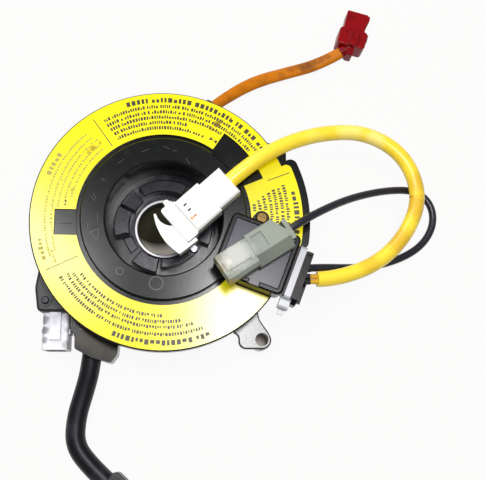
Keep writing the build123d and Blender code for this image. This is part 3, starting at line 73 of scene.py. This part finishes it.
# On the clear plug: a paler front half, amber tints at the mouth, and one small near-white patch that is a
# painted glint.
HORN_TINTS_AND_GLINT = [
    (28.3, -18.6, 7.5, 0.75, "eae9e2"), (24.4, -22.6, 5, 0.6, "dcdacf"), (22.5, -23.8, 2.2, 0.7, "b0966c"),
    (21.3, -19.9, 2.2, 0.6, "a09272"), (26.8, -29.2, 2.2, 0.7, "bc985e"), (25.6, -21.4, 1.8, 0.8, "fbf6ee"),
    (33.7, -16.6, 4, 0.4, "c8ccc4"),
]
# On the pale socket: grey patches painted at its left wall and at its right edge, beside the outlet, as shade.
COLUMN_PAINTED_SHADE = [
    (-47.7, -45.2, 2.6, 0.85, "5a5862"), (-47.9, -41.1, 2.6, 0.85, "6a6872"),
    (-47.9, -49.3, 2.2, 0.7, "5a5862"), (-39.0, -51.2, 2.5, 0.6, "8a8890"),
    (-38.9, -45.1, 1.6, 0.6, "9a98a2"),
]


def high_of(name):
    """Top of a node in metres, from its vertices read as one array."""
    vertices = nodes[name].data.vertices
    points = np.empty(3 * len(vertices), np.float32)
    vertices.foreach_get("co", points)
    return float(points[2::3].max())


# ---------------------------------------------------------------- camera

CAMERA_AT = Vector((5.727, -76.232, 350.0)) * MM
CAMERA_LOOKS_AT = Vector((32.347, -8.715, 27.2)) * MM
CAMERA_ANGLE = math.radians(33.583)

camera_data = bpy.data.cameras.new("camera")
camera = bpy.data.objects.new("camera", camera_data)
scene.collection.objects.link(camera)
scene.camera = camera
camera_data.sensor_width = 36.0
camera_data.lens = 18.0 / math.tan(CAMERA_ANGLE / 2)
camera_data.clip_start, camera_data.clip_end = 0.01, 20.0
forward = (CAMERA_LOOKS_AT - CAMERA_AT).normalized()
right = forward.cross(Vector((0, 1, 0))).normalized()
up = right.cross(forward)
camera.matrix_world = Matrix.Translation(CAMERA_AT) @ Matrix((right, up, -forward)).transposed().to_4x4()

# ---------------------------------------------------------------- cords

YELLOW_ROUTE = [
    (62.4, -25.2, 31.0), (70.6, -24.9, 30.3), (88.4, -18.1, 28.9), (101.4, -5.3, 27.8),
    (108.3, 12.1, 27.1), (101.7, 30.0, 27.0), (85.4, 39.1, 27.8), (67.6, 37.9, 29.8),
    (50.4, 31.8, 33.2), (34.94, 21.82, 35.34), (26.37, 14.07, 34.33),
]
HORN_ROUTE = [
    (59.6, -20.6, 30.6), (65.6, -20.0, 29.0), (77.0, -19.2, 24.0), (89.0, -17.9, 21.0),
    (101.1, -14.0, 19.4), (110.2, -8.3, 18.7), (115.4, -0.7, 18.5), (116.2, 7.2, 18.5),
    (112.9, 13.4, 18.6), (106.6, 16.4, 18.9), (96.2, 15.4, 21.5), (85.2, 12.2, 26.4),
    (74.6, 7.8, 32.2), (64.6, 2.2, 38.2), (55.93, -3.20, 42.7), (49.73, -7.23, 42.7),
]
LEAD_ROUTE = [
    (17.6, 52.0, 13.5), (25.2, 58.6, 12.0), (38.9, 69.3, 6.4), (54.5, 75.8, 3.0),
    (69.7, 80.4, 3.2), (80.0, 86.1, 4.8),
]
HARNESS_ROUTE = [
    (-28.8, -50.4, 7.0), (-29.5, -60.0, 6.2), (-32.0, -70.0, 4.8), (-34.8, -80.0, 4.35),
    (-35.2, -91.2, 4.4), (-28.6, -99.6, 4.6), (-21.8, -105.6, 5.2),
]


def cord_curve(name, route, radius_mm, flat=None):
    """Open NURBS curve through a route given in millimetres, round in section, or flat and twisted:
    flat gives the thin share of the section, and a tilt in degrees and a scale for each point."""
    curve = bpy.data.curves.new(name, "CURVE")
    curve.dimensions = "3D"
    curve.resolution_u = 12
    curve.bevel_depth = radius_mm * MM
    curve.bevel_resolution = 6
    curve.use_fill_caps = True
    spline = curve.splines.new("NURBS")
    spline.points.add(len(route) - 1)
    for point, (x, y, z) in zip(spline.points, route):
        point.co = (x * MM, y * MM, z * MM, 1.0)
    spline.order_u = 3
    spline.use_endpoint_u = True
    if flat:
        share, tilts, scales = flat
        curve.bevel_mode = "OBJECT"
        curve.bevel_object = oval(name + "_section", radius_mm, share)
        for point, tilt, scale in zip(spline.points, tilts, scales):
            point.tilt = math.radians(tilt)
            point.radius = scale
    obj = bpy.data.objects.new(name, curve)
    scene.collection.objects.link(obj)
    return obj


def oval(name, radius_mm, share):
    """Closed section of a flat cord: points on an ellipse, its second half axis a share of the first."""
    curve = bpy.data.curves.new(name, "CURVE")
    curve.dimensions = "2D"
    spline = curve.splines.new("POLY")
    turn = np.linspace(0, 2 * np.pi, 24, endpoint=False)
    spline.points.add(len(turn) - 1)
    ring = np.stack([np.cos(turn), share * np.sin(turn), 0 * turn, 1 / (radius_mm * MM) + 0 * turn], 1)
    ring = ring * radius_mm * MM
    spline.points.foreach_set("co", ring.ravel())
    spline.use_cyclic_u = True
    return bpy.data.objects.new(name, curve)


def line_of(cord):
    """Points in metres along a cord's own spline, from a copy of the curve with no section."""
    bare = cord.data.copy()
    bare.bevel_mode, bare.bevel_depth, bare.bevel_object = "ROUND", 0.0, None
    holder = bpy.data.objects.new("bare", bare)
    mesh = bpy.data.meshes.new_from_object(holder)
    points = np.empty(len(mesh.vertices) * 3)
    mesh.vertices.foreach_get("co", points)
    bpy.data.objects.remove(holder)
    bpy.data.meshes.remove(mesh)
    return points.reshape(-1, 3)


# ---------------------------------------------------------------- materials


def linear(hex_colour):
    """Linear colour with alpha 1 from an sRGB hex string."""
    parts = [int(hex_colour[i:i + 2], 16) / 255 for i in (0, 2, 4)]
    return tuple(c / 12.92 if c <= 0.04045 else ((c + 0.055) / 1.055) ** 2.4 for c in parts) + (1.0,)


def add_node(material, kind, settings=None, **inputs):
    """Adds a shader node, sets its properties, and its inputs by value or link: i6 means input number 6,
    and any other key is an input's name with underscores for spaces."""
    tree = material.node_tree
    node = tree.nodes.new(kind)
    for key, value in (settings or {}).items():
        setattr(node, key, value)
    for key, value in inputs.items():
        by_number = key[0] == "i" and key[1:].isdigit()
        socket = node.inputs[int(key[1:]) if by_number else key.replace("_", " ")]
        if isinstance(value, bpy.types.NodeSocket):
            tree.links.new(value, socket)
        else:
            socket.default_value = value
    return node


SUBSURFACE_M = (0.004, 0.003, 0.002)    # how far red, green and blue light pass into milky nylon


def plain(name, colour, roughness, grain=0.0, grain_size=2500.0, dirt=None, dirt_share=0.5, dirt_size=60.0,
          metallic=0.0, transmission=0.0, specular=0.5, subsurface=0.0, spots=()):
    """Principled material with optional grain relief, patches of a second colour, and patches at set places:
    stains, and on some parts painted highlights and painted shade.
    """
    material = bpy.data.materials.new(name)
    material.use_nodes = True
    shader = material.node_tree.nodes["Principled BSDF"]
    shader.inputs["Base Color"].default_value = linear(colour)
    shader.inputs["Roughness"].default_value = roughness
    shader.inputs["Metallic"].default_value = metallic
    shader.inputs["Transmission Weight"].default_value = transmission
    shader.inputs["Specular IOR Level"].default_value = specular
    shader.inputs["Subsurface Weight"].default_value = subsurface
    shader.inputs["Subsurface Radius"].default_value = SUBSURFACE_M
    if not (grain or dirt or spots):
        return material
    links = material.node_tree.links
    place = add_node(material, "ShaderNodeTexCoord").outputs["Object"]
    if grain:
        noise = add_node(material, "ShaderNodeTexNoise", Vector=place, Scale=grain_size, Detail=2.0)
        bump = add_node(material, "ShaderNodeBump", Strength=grain, Distance=0.0002,
                        Height=noise.outputs["Fac"])
        links.new(bump.outputs["Normal"], shader.inputs["Normal"])
    paint = linear(colour)
    if dirt:
        patches = add_node(material, "ShaderNodeTexNoise", Vector=place, Scale=dirt_size,
                           Detail=6.0, Roughness=0.6)
        share = add_node(material, "ShaderNodeMapRange", Value=patches.outputs["Fac"],
                         From_Min=0.5, From_Max=0.72, To_Min=0.0, To_Max=dirt_share)
        paint = add_node(material, "ShaderNodeMix", {"data_type": "RGBA"}, i0=share.outputs["Result"],
                         i6=paint, i7=linear(dirt)).outputs[2]
    if spots:
        ragged = add_node(material, "ShaderNodeTexNoise", Vector=place, Scale=700.0, Detail=4.0, Roughness=0.7)
        plan = add_node(material, "ShaderNodeVectorMath", {"operation": "MULTIPLY"}, i0=place, i1=(1, 1, 0))
    for x, y, radius, share, spot_colour in spots:
        away = add_node(material, "ShaderNodeVectorMath", {"operation": "DISTANCE"},
                        i0=plan.outputs[0], i1=(x * MM, y * MM, 0))
        flat = add_node(material, "ShaderNodeMath", {"operation": "MULTIPLY_ADD"},
                        i0=ragged.outputs["Fac"], i1=1.2 * radius * MM, i2=away.outputs["Value"])
        inside = add_node(material, "ShaderNodeMapRange", Value=flat.outputs[0],
                          From_Min=radius * MM, From_Max=1.5 * radius * MM, To_Min=share, To_Max=0.0)
        paint = add_node(material, "ShaderNodeMix", {"data_type": "RGBA"}, i0=inside.outputs["Result"],
                         i6=paint, i7=linear(spot_colour)).outputs[2]
    if isinstance(paint, bpy.types.NodeSocket):
        links.new(paint, shader.inputs["Base Color"])
    return material


# Moulded black nylon: fine grain, dull dust in patches.
black_moulding = plain("black_moulding", "1c1c1f", 0.4, grain=0.2, dirt="4a463f", dirt_share=0.35)
# The case is glossier where hands have worn it.
case_moulding = plain("case_moulding", "141418", 0.22, grain=0.08, dirt="3a3228", dirt_share=0.5, dirt_size=45,
                      spots=CASE_BROWN_PATCHES)
# Rotor face: polished black with fine grey-green wear.
black_gloss = plain("black_gloss", "08090a", 0.2, specular=0.28, grain=0.04, grain_size=900, dirt="1e2420",
                    dirt_share=0.5, dirt_size=220)
# Cam ring deep in the well: grey-violet cast, glossy.
cam_moulding = plain("cam_moulding", "1c1a22", 0.18, specular=0.4, grain=0.2, dirt="4c4854", dirt_share=0.5,
                     dirt_size=160)
# Steel bush: a dull bright ring round the dark bore.
bright_bush = plain("bright_bush", "918f92", 0.32, metallic=0.9, grain=0.1)
# Screws: plated grey, blackened, and dull brown brass.
zinc_screw = plain("zinc_screw", "b8bac6", 0.3, metallic=1.0)
dark_screw = plain("dark_screw", "34343a", 0.35, metallic=0.8)
brass_screw = plain("brass_screw", "5c4a2c", 0.32, metallic=1.0)
# Outlet box: black with a violet cast. The lid is the same black plastic, painted violet-grey as its
# reflection, with light scuffs.
box_moulding = plain("box_moulding", "09090c", 0.24, specular=0.14, grain=0.1, dirt="3a2c22", dirt_share=0.5,
                     dirt_size=90)
lid_sheen_and_scuffs = plain("lid_sheen_and_scuffs", "33313f", 0.24, specular=0.22, grain=0.1, dirt="4a4854", dirt_share=0.5)
# Natural nylon: milky, light passes a little way in.
natural_nylon = plain("natural_nylon", "b9bac0", 0.3, subsurface=0.3)
# White nylon plug: bright and almost without shade.
white_connector = plain("white_connector", "f6f5f1", 0.4, subsurface=0.1)
# Pale socket moulding: white with violet-grey dirt, and grey painted shade at its left wall and at its right
# edge beside the outlet.
pale_connector = plain("pale_connector", "eceaf0", 0.35, subsurface=0.2, dirt="9a98a6", dirt_share=0.6,
                       dirt_size=110, spots=COLUMN_PAINTED_SHADE)
# Clear moulding: grey-green body, light passes through it, its front half is paler with amber edges, and one
# small near-white patch on it is a painted glint.
clear_connector = plain("clear_connector", "a0a89b", 0.42, specular=0.25, transmission=0.3, subsurface=0.2,
                        dirt="868c7c", dirt_share=0.6, dirt_size=90, spots=HORN_TINTS_AND_GLINT)
# Tinned pins: a pale gold glint inside the sockets.
tin_terminal = plain("tin_terminal", "c9be9a", 0.35, metallic=1.0)
# Yellow vinyl sleeve: ochre where it has aged, with grease flecks, and pale lemon patches at the top of the
# loop that are painted highlights.
yellow_conduit = plain("yellow_conduit", "ffdf3a", 0.27, grain=0.06, dirt="c8902a", dirt_share=0.45,
                       dirt_size=38, spots=SLEEVE_STAINS_AND_HIGHLIGHTS)
# Wires and seal: blue-black shine, ochre insulation, and rubber that stays matt.
black_wire = plain("black_wire", "1c1c28", 0.33)
yellow_wire = plain("yellow_wire", "d9a818", 0.4)
rubber_seal = plain("rubber_seal", "1a1a20", 0.6)
# Cloth tape round the lead: burnt orange with brown, greasy folds.
orange_tape = plain("orange_tape", "c97404", 0.42, specular=0.22, grain=0.25, dirt="6c3a12", dirt_share=0.8,
                    dirt_size=85, spots=LEAD_STAINS)
# Deep red plug, darker where dirt sits.
red_connector = plain("red_connector", "8a040d", 0.3, specular=0.2, dirt="3c060c", dirt_share=0.85,
                      dirt_size=140)
# Black harness sleeve with violet-grey wear, and the lighter seam that runs along it.
black_sleeve = plain("black_sleeve", "0c0c13", 0.4, specular=0.3, grain=0.12, dirt="3c3a46", dirt_share=0.8,
                     dirt_size=50)
sleeve_seam = plain("sleeve_seam", "55545e", 0.4, dirt="2a2833", dirt_share=0.7, dirt_size=120)
# Films inside the case: amber ribbon on a milky glide sheet.
ribbon_film = plain("ribbon_film", "c8b27a", 0.35)
glide_film = plain("glide_film", "d4d4d0", 0.4)
# Glossy yellow sheet: stains where fingers and grease touched it.
yellow_label = plain("yellow_label", "fbee0c", 0.2, dirt="d9cc20", dirt_share=0.3, dirt_size=45,
                     spots=LABEL_STAINS)
# Print: dark olive ink, and the same ink worn to a shade of the sheet.
print_ink = plain("print_ink", "332d08", 0.4)
faded_ink = plain("faded_ink", "a89c30", 0.4)

NODE_MATERIAL = {
    "stator_case": case_moulding, "connector_cover": black_moulding, "cover_screw": dark_screw,
    "column_connector": pale_connector, "column_pins": tin_terminal, "glide_sheet": glide_film,
    "ribbon_cable": ribbon_film, "outer_clamp": black_moulding, "airbag_lead": orange_tape,
    "lead_connector": red_connector, "lead_connector_lock": red_connector,
    "harness_sleeve": black_sleeve, "harness_plug": black_moulding,
    "rotor_disc": black_gloss, "face_label": yellow_label, "cancel_cam": cam_moulding,
    "shaft_collar": bright_bush, "hub_screw": zinc_screw, "outlet_box": box_moulding,
    "outlet_lid": lid_sheen_and_scuffs, "outlet_screw": brass_screw, "wire_grommet": rubber_seal,
    "terminal_block": black_moulding, "inner_leads": black_wire, "inner_clamp": black_moulding,
    "cable_tie": natural_nylon, "airbag_wires": yellow_wire, "yellow_sleeve": yellow_conduit,
    "squib_connector": white_connector, "squib_lock": white_connector, "horn_wire": black_wire,
    "horn_connector": clear_connector, "horn_terminal": tin_terminal,
}
for name, material in NODE_MATERIAL.items():
    nodes[name].data.materials.clear()
    nodes[name].data.materials.append(material)

# Moulded edges catch the light: narrow rounded bevels, their widths in millimetres, on the sharp ones.
EDGE_MM = {
    "rotor_disc": 0.2, "cancel_cam": 0.25, "stator_case": 0.3, "connector_cover": 0.2, "outlet_box": 0.15,
    "outlet_lid": 0.15, "squib_connector": 0.35, "squib_lock": 0.35, "horn_connector": 0.3,
    "lead_connector": 0.3, "lead_connector_lock": 0.2, "column_connector": 0.25, "cable_tie": 0.25,
    "harness_plug": 0.3, "shaft_collar": 0.2,
}
BEVEL_FROM = math.radians(40)
for name, width in EDGE_MM.items():
    bevel = nodes[name].modifiers.new("edge", "BEVEL")
    bevel.width = width * MM
    bevel.segments = 2
    bevel.limit_method = "ANGLE"
    bevel.angle_limit = BEVEL_FROM

# ---------------------------------------------------------------- printed face

FACE_TOP = high_of("face_label")
GROUP_SHARE = 0.16              # share of gaps in a row that are wide
SHORT_SHARE = 0.3               # share of blocks that are cut short, by this share of the row's height


def sheet(name, corners, material, body):
    """One mesh of flat four-cornered patches: corners is an array (patches, 4, 3) in millimetres, in place."""
    points = corners.reshape(-1, 3) * MM
    mesh = bpy.data.meshes.new(name)
    mesh.from_pydata(points.tolist(), [], np.arange(len(points)).reshape(-1, 4).tolist())
    mesh.materials.append(material)
    obj = bpy.data.objects.new(name, mesh)
    scene.collection.objects.link(obj)
    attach(obj, body)
    return obj


def arc_patches(rows, seed):
    """Patches (n, 4, 3) along arcs on the label: each row is a radius, the angles at which it starts and ends
    clockwise, a height and a block width, and is cut into short plain blocks of uneven width, with a wider
    gap after about one block in six."""
    rng = np.random.default_rng(seed)
    patches = []
    for radius, start, end, height, width in rows:
        count = int(radius * math.radians(start - end) / (0.55 * width))
        widths = width * rng.uniform(0.55, 1.15, count)
        gaps = 0.42 * width * np.where(rng.random(count) < GROUP_SHARE, 2.6, 1.0)
        left = np.concatenate(([0.0], np.cumsum(widths + gaps)[:-1]))
        keep = left + widths < radius * math.radians(start - end)
        a0 = math.radians(start) - left[keep] / radius
        a1 = a0 - widths[keep] / radius
        low = np.full(a0.shape, radius - height / 2)
        high = radius + height / 2 - SHORT_SHARE * height * (rng.random(a0.shape) < SHORT_SHARE)
        ring = [(low, a0), (high, a0), (high, a1), (low, a1)]
        patches.append(np.stack([np.stack([r * np.cos(a), r * np.sin(a), 0 * a], -1) for r, a in ring], 1))
    return np.concatenate(patches)


def on_label(patches, margin=1.35):
    """Only the patches that, drawn larger by a margin, lie on the yellow sheet, set just above it."""
    tree = BVHTree.FromObject(nodes["face_label"], bpy.context.evaluated_depsgraph_get())
    middle = patches.mean(1, keepdims=True)
    tested = middle + margin * (patches - middle)
    above = [[tree.ray_cast(Vector((x * MM, y * MM, 1.0)), Vector((0, 0, -1)))[0] for x, y, _ in four]
             for four in tested]
    keep = np.array([all(hit is not None and hit.z > FACE_TOP - 0.05 * MM for hit in four) for four in above])
    patches = patches[keep]
    patches[..., 2] = FACE_TOP / MM + PRINT_LIFT
    return patches


def radial_bar(angle, inner, outer, width=0.35):
    """Patch (1, 4, 3): a thin bar along a radius."""
    turn = math.radians(angle)
    along = np.array([math.cos(turn), math.sin(turn), 0])
    across = np.array([-math.sin(turn), math.cos(turn), 0]) * width / 2
    return np.array([[inner * along - across, outer * along - across,
                      outer * along + across, inner * along + across]])


def double_arrow(angle, radius, length=1.7, height=1.7):
    """Patches (2, 4, 3): two solid triangles, tip to tip, along an arc."""
    turn = math.radians(angle)
    out = np.array([math.cos(turn), math.sin(turn), 0])
    side = np.array([math.sin(turn), -math.cos(turn), 0])
    tip = radius * out
    return np.array([[tip, tip + s * length * side + height / 2 * out, tip + s * length * side,
                      tip + s * length * side - height / 2 * out] for s in (-1, 1)])


# Rows of print: radius, angles from and to, height and block width.
TEXT_ROWS = [
    # upper field: bold heading row, then five rows
    (51.2, 109, 37, 2.1, 1.55), (48.4, 122, 36, 1.45, 0.85), (46.0, 122, 39, 1.45, 0.85),
    (43.7, 121.5, 45, 1.45, 0.85), (41.4, 121, 77, 1.45, 0.85), (39.0, 120.5, 64, 1.45, 0.85),
    # right-hand field: bold heading row, then seven rows
    (55.2, 13, -9, 2.2, 1.7), (51.6, 17, -14, 1.4, 0.85), (49.3, 16, -14, 1.4, 0.85),
    (47.0, 16, -14, 1.4, 0.85), (44.7, 15, -14, 1.4, 0.85), (42.3, 14, -14, 1.4, 0.85),
    (40.0, 12, -14, 1.4, 0.85), (37.7, 10, -14, 1.4, 0.85),
    # lower field
    (51.1, 292, 247, 2.1, 1.55), (47.8, 290, 210, 1.4, 0.85), (45.0, 286, 211, 1.4, 0.85),
    (42.7, 280, 212, 1.4, 0.85), (40.3, 270, 215, 1.4, 0.85),
]
FADED_ROWS = [
    (50.6, 160, 147, 2.0, 1.6), (48.2, 200, 133, 0.9, 0.8), (45.6, 198, 131, 0.9, 0.8),
    (43.4, 176, 130, 0.9, 0.8), (41.0, 172, 131, 0.9, 0.8), (38.8, 168, 131, 0.9, 0.8),
    (51.0, 201, 190, 2.0, 1.6), (47.0, 204, 197, 0.9, 0.8),
]
sheet("face_print", np.concatenate([
    on_label(arc_patches(TEXT_ROWS, 5)),
    on_label(radial_bar(126, 37.5, 51.5), 1), on_label(radial_bar(-154.4, 37.9, 51.7), 1),
    on_label(radial_bar(21.5, 46.2, 56.0), 1), on_label(double_arrow(59.5, 39.4), 1),
    on_label(double_arrow(172, 40.5, 1.1, 1.1), 1),
]), print_ink, "rotor")
sheet("faded_print", on_label(arc_patches(FADED_ROWS, 9)), faded_ink, "rotor")


def rings(places, segments=28):
    """Patches (n, 4, 3): thin level rings, each cut into segments; places gives x, y, z, radius and width."""
    x, y, z, radius, width = np.array(places, float).T[:, :, None]
    turn = np.linspace(0, 2 * np.pi, segments + 1)[None, :]
    edge = [np.stack([x + (radius + s * width / 2) * np.cos(turn), y + (radius + s * width / 2) * np.sin(turn),
                      z + 0 * turn], -1) for s in (-1, 1)]
    return np.stack([edge[0][:, :-1], edge[1][:, :-1], edge[1][:, 1:], edge[0][:, 1:]], 2).reshape(-1, 4, 3)


def strokes(lines, z, width):
    """Patches (n, 4, 3): straight thin bars between two points given as x, y, x, y."""
    ends = np.array(lines, float).reshape(-1, 2, 2)
    run = ends[:, 1] - ends[:, 0]
    across = np.stack([-run[:, 1], run[:, 0]], -1) / np.linalg.norm(run, axis=1, keepdims=True) * width / 2
    flat = np.stack([ends[:, 0] - across, ends[:, 1] - across, ends[:, 1] + across, ends[:, 0] + across], 1)
    return np.concatenate([flat, np.full(flat.shape[:2] + (1,), z)], -1)


RING_TOP = high_of("rotor_disc") / MM + PRINT_LIFT
# Moulded marks on the ring: a shade above the black round them.
raised_mark = plain("raised_mark", "262a2c", 0.3)
sheet("ring_marks", np.concatenate([
    rings([(-2.6, -27.3, RING_TOP, 2.7, 0.3), (-17.3, -22.6, RING_TOP, 1.5, 0.3)]),
    strokes([(-29.6, -6.8, -26.1, -5.5), (-26.1, -5.5, -26.7, -10.1), (-26.7, -10.1, -29.6, -6.8)],
            RING_TOP, 0.28),
]), raised_mark, "rotor")
# Scratches: thin grey lines that break the polish.
wear_scratch = plain("wear_scratch", "44423e", 0.4)
sheet("ring_scratches", strokes([
    (-30.2, 8.6, -28.1, 6.1), (-29.0, 9.5, -27.7, 7.0), (-26.0, 15.9, -24.3, 14.7), (-19.3, 22.5, -16.9, 24.3),
    (-10.0, 27.5, -6.8, 28.9), (-0.6, 30.3, 1.9, 29.1), (2.8, 28.7, 4.8, 28.3), (5.4, -30.0, 7.4, -29.2),
    (-27.1, 1.1, -26.6, -2.6), (-31.0, -2.7, -30.4, -5.6), (8.6, 25.4, 10.3, 22.8),
], RING_TOP, 0.14), wear_scratch, "rotor")

# ---------------------------------------------------------------- small marks on the plugs


def plug_axes(route, height):
    """Origin and axes of a plug's underside at the end of a cord: x runs on along the cord, z is up."""
    end, before = np.array(route[-1]), np.array(route[-2])
    along = (end - before) / np.linalg.norm(end - before)
    side = np.cross((0, 0, 1), along)
    side /= np.linalg.norm(side)
    upward = np.cross(along, side)
    return end - upward * height / 2, along, side, upward


def plug_patches(axes, lift, boxes):
    """Patches (n, 4, 3) on a plug at one height: each box is x, y, length and width in the plug's own plane."""
    origin, along, side, upward = axes
    x, y, length, width = np.array(boxes, float).T[:, :, None]
    u = x + length / 2 * np.array([-1, 1, 1, -1])
    v = y + width / 2 * np.array([-1, -1, 1, 1])
    return origin + u[..., None] * along + v[..., None] * side + lift * upward


SQUIB_H = 9.5
SLOT_FLOOR = 8.42               # just above the floor of the plug's three slots
MARK_LIFT = 0.03
squib_axes = plug_axes(YELLOW_ROUTE, SQUIB_H)
# Contacts in the white plug: near-black in two slots, amber in the third.
dark_contact = plain("dark_contact", "2c2a24", 0.5)
amber_contact = plain("amber_contact", "e08a1c", 0.4)
sheet("squib_contacts", plug_patches(squib_axes, SLOT_FLOOR, [
    (20.2, -4.0, 1.6, 0.8), (20.2, -1.3, 1.6, 0.8),
]), dark_contact, "rotor")
sheet("squib_shunt", plug_patches(squib_axes, SLOT_FLOOR, [(20.2, 2.0, 1.6, 0.8)]), amber_contact, "rotor")
sheet("squib_mark", plug_patches(squib_axes, SQUIB_H + MARK_LIFT, [(21.8, 2.0, 1.0, 1.2)]), amber_contact,
      "rotor")

# ---------------------------------------------------------------- cords in place


def lay_cord(name, route, radius_mm, body, material, with_pieces, flat=None, band=None):
    """Cord on its route, standing for its CAD node, with a band along it when one is given."""
    obj = cord_curve(name + "_tube", route, radius_mm, flat)
    obj.data.materials.append(material)
    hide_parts(name)
    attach(obj, body)
    pieces = [nodes[n] for n in with_pieces]
    if band:
        pieces.append(cord_band(obj, radius_mm, body, *band))


def cord_band(cord, radius_mm, body, name, material, side_turn, width_turn):
    """Narrow strip on a cord: at each point of its line, an arc just outside the cord's radius, width_turn
    degrees wide about side_turn, measured from the cord's left side over its top."""
    line = line_of(cord)
    along = np.gradient(line, axis=0)
    along /= np.linalg.norm(along, axis=1, keepdims=True)
    left = np.cross((0, 0, 1), along)
    left /= np.linalg.norm(left, axis=1, keepdims=True)
    top = np.cross(along, left)
    turn = np.radians(side_turn + np.zeros((len(line), 1)) + width_turn * np.linspace(-0.5, 0.5, 7)[None, :])
    reach = (radius_mm + BAND_LIFT) * MM
    outward = np.cos(turn)[..., None] * left[:, None] + np.sin(turn)[..., None] * top[:, None]
    points = line[:, None] + reach * outward
    rows, columns = turn.shape
    index = np.arange(rows * columns).reshape(rows, columns)
    faces = np.stack([index[:-1, :-1], index[1:, :-1], index[1:, 1:], index[:-1, 1:]], -1).reshape(-1, 4)
    mesh = bpy.data.meshes.new(name)
    mesh.from_pydata(points.reshape(-1, 3).tolist(), [], faces.tolist())
    mesh.materials.append(material)
    obj = bpy.data.objects.new(name, mesh)
    scene.collection.objects.link(obj)
    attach(obj, body)
    return obj


lay_cord("yellow_sleeve", YELLOW_ROUTE, 3.25, "rotor", yellow_conduit, ["squib_connector", "squib_lock"])
lay_cord("horn_wire", HORN_ROUTE, 1.6, "rotor", black_wire, ["horn_connector", "horn_terminal"])
lay_cord("airbag_lead", LEAD_ROUTE, 2.7, "stator", orange_tape, ["lead_connector", "lead_connector_lock"],
         flat=(0.62, (35, 20, 5, -20, 0, 5), (0.85, 0.95, 1.08, 1.2, 1.05, 1.0)))
lay_cord("harness_sleeve", HARNESS_ROUTE, 4.1, "stator", black_sleeve, ["harness_plug"],
         band=("harness_seam", sleeve_seam, 212, 24))

# ---------------------------------------------------------------- floor, backdrop and light

FLOOR_HALF = 3.0                # metres
FLOOR_GLOW = 0.93               # share of plain white in the floor as seen; the rest takes the shadow
BORE_HOLE = ((0, 1, 0), 16)     # the floor is seen as it is through the bore and through the ear's hole
EAR_HOLE = ((42.7, -47.5, 0), 2.9)

floor = bpy.data.objects.new("floor", bpy.data.meshes.new("floor"))
floor_corners = [(x * FLOOR_HALF, y * FLOOR_HALF, 0) for x, y in ((-1, -1), (1, -1), (1, 1), (-1, 1))]
floor.data.from_pydata(floor_corners, [], [(0, 1, 2, 3)])
scene.collection.objects.link(floor)
floor_material = bpy.data.materials.new("pale_floor")
floor_material.use_nodes = True
tree = floor_material.node_tree
diffuse = tree.nodes["Principled BSDF"]
diffuse.inputs["Roughness"].default_value = 1.0
diffuse.inputs["Specular IOR Level"].default_value = 0.0
floor_place = add_node(floor_material, "ShaderNodeTexCoord")
# Under the open bore the floor is painted dark as shadow, but for a strip at its lower edge.
from_painted_shadow = add_node(floor_material, "ShaderNodeVectorMath", {"operation": "DISTANCE"},
                      i0=floor_place.outputs["Object"], i1=Vector((-3, 8, 0)) * MM)
outside_painted_shadow = add_node(floor_material, "ShaderNodeMapRange", Value=from_painted_shadow.outputs["Value"],
                 From_Min=13 * MM, From_Max=17 * MM)
floor_and_painted_shadow = add_node(floor_material, "ShaderNodeMix", {"data_type": "RGBA"}, i0=outside_painted_shadow.outputs["Result"],
                 i6=(0.035, 0.034, 0.02, 1), i7=(0.62, 0.57, 0.5, 1))
tree.links.new(floor_and_painted_shadow.outputs[2], diffuse.inputs["Base Color"])
path = add_node(floor_material, "ShaderNodeLightPath")
glow = add_node(floor_material, "ShaderNodeEmission", Color=(1, 1, 1, 1), Strength=1.0)
open_floor = path.outputs["Is Camera Ray"]
for ray in ("Is Glossy Ray", "Is Transmission Ray"):
    open_floor = add_node(floor_material, "ShaderNodeMath", {"operation": "MAXIMUM"},
                          i0=open_floor, i1=path.outputs[ray]).outputs[0]
for hole_at, hole_r in (BORE_HOLE, EAR_HOLE):
    away = add_node(floor_material, "ShaderNodeVectorMath", {"operation": "DISTANCE"},
                    i0=floor_place.outputs["Object"], i1=Vector(hole_at) * MM)
    outside = add_node(floor_material, "ShaderNodeMath", {"operation": "GREATER_THAN"},
                       i0=away.outputs["Value"], i1=hole_r * MM)
    open_floor = add_node(floor_material, "ShaderNodeMath", {"operation": "MULTIPLY"},
                          i0=open_floor, i1=outside.outputs[0]).outputs[0]
seen = add_node(floor_material, "ShaderNodeMath", {"operation": "MULTIPLY"}, i0=open_floor, i1=FLOOR_GLOW)
mix = add_node(floor_material, "ShaderNodeMixShader", i0=seen.outputs[0], i1=diffuse.outputs[0],
               i2=glow.outputs[0])
tree.links.new(mix.outputs[0], tree.nodes["Material Output"].inputs["Surface"])
floor.data.materials.append(floor_material)

world = bpy.data.worlds.new("world")
scene.world = world
world.use_nodes = True
background = world.node_tree.nodes["Background"]
background.inputs["Color"].default_value = (1, 1, 1, 1)
background.inputs["Strength"].default_value = 0.3


def area_light(name, at_mm, towards_mm, size_mm, watts, turn=0.0):
    """Soft rectangular light aimed at a point, turned about its own axis by an angle in degrees."""
    data = bpy.data.lights.new(name, "AREA")
    data.shape = "RECTANGLE"
    data.size, data.size_y = size_mm[0] * MM, size_mm[1] * MM
    data.energy = watts
    obj = bpy.data.objects.new(name, data)
    obj.location = Vector(at_mm) * MM
    obj.rotation_mode = "QUATERNION"
    aim = (Vector(towards_mm) - Vector(at_mm)).to_track_quat("-Z", "Y")
    obj.rotation_quaternion = aim @ Quaternion((0, 0, 1), math.radians(turn))
    scene.collection.objects.link(obj)


# The key mirrors in the label's lower right, the left lamp at the disc's left edge; the back one fills.
area_light("softbox_key", (66, 12, 518), (22, -20, 20), (130, 70), 1.3, -36)
area_light("softbox_left", (-160, 106, 518), (-20, 0, 20), (44, 220), 0.8)
area_light("softbox_back", (-300, 700, 600), (10, 0, 20), (400, 400), 3.0)

scene.view_settings.view_transform = "Standard"
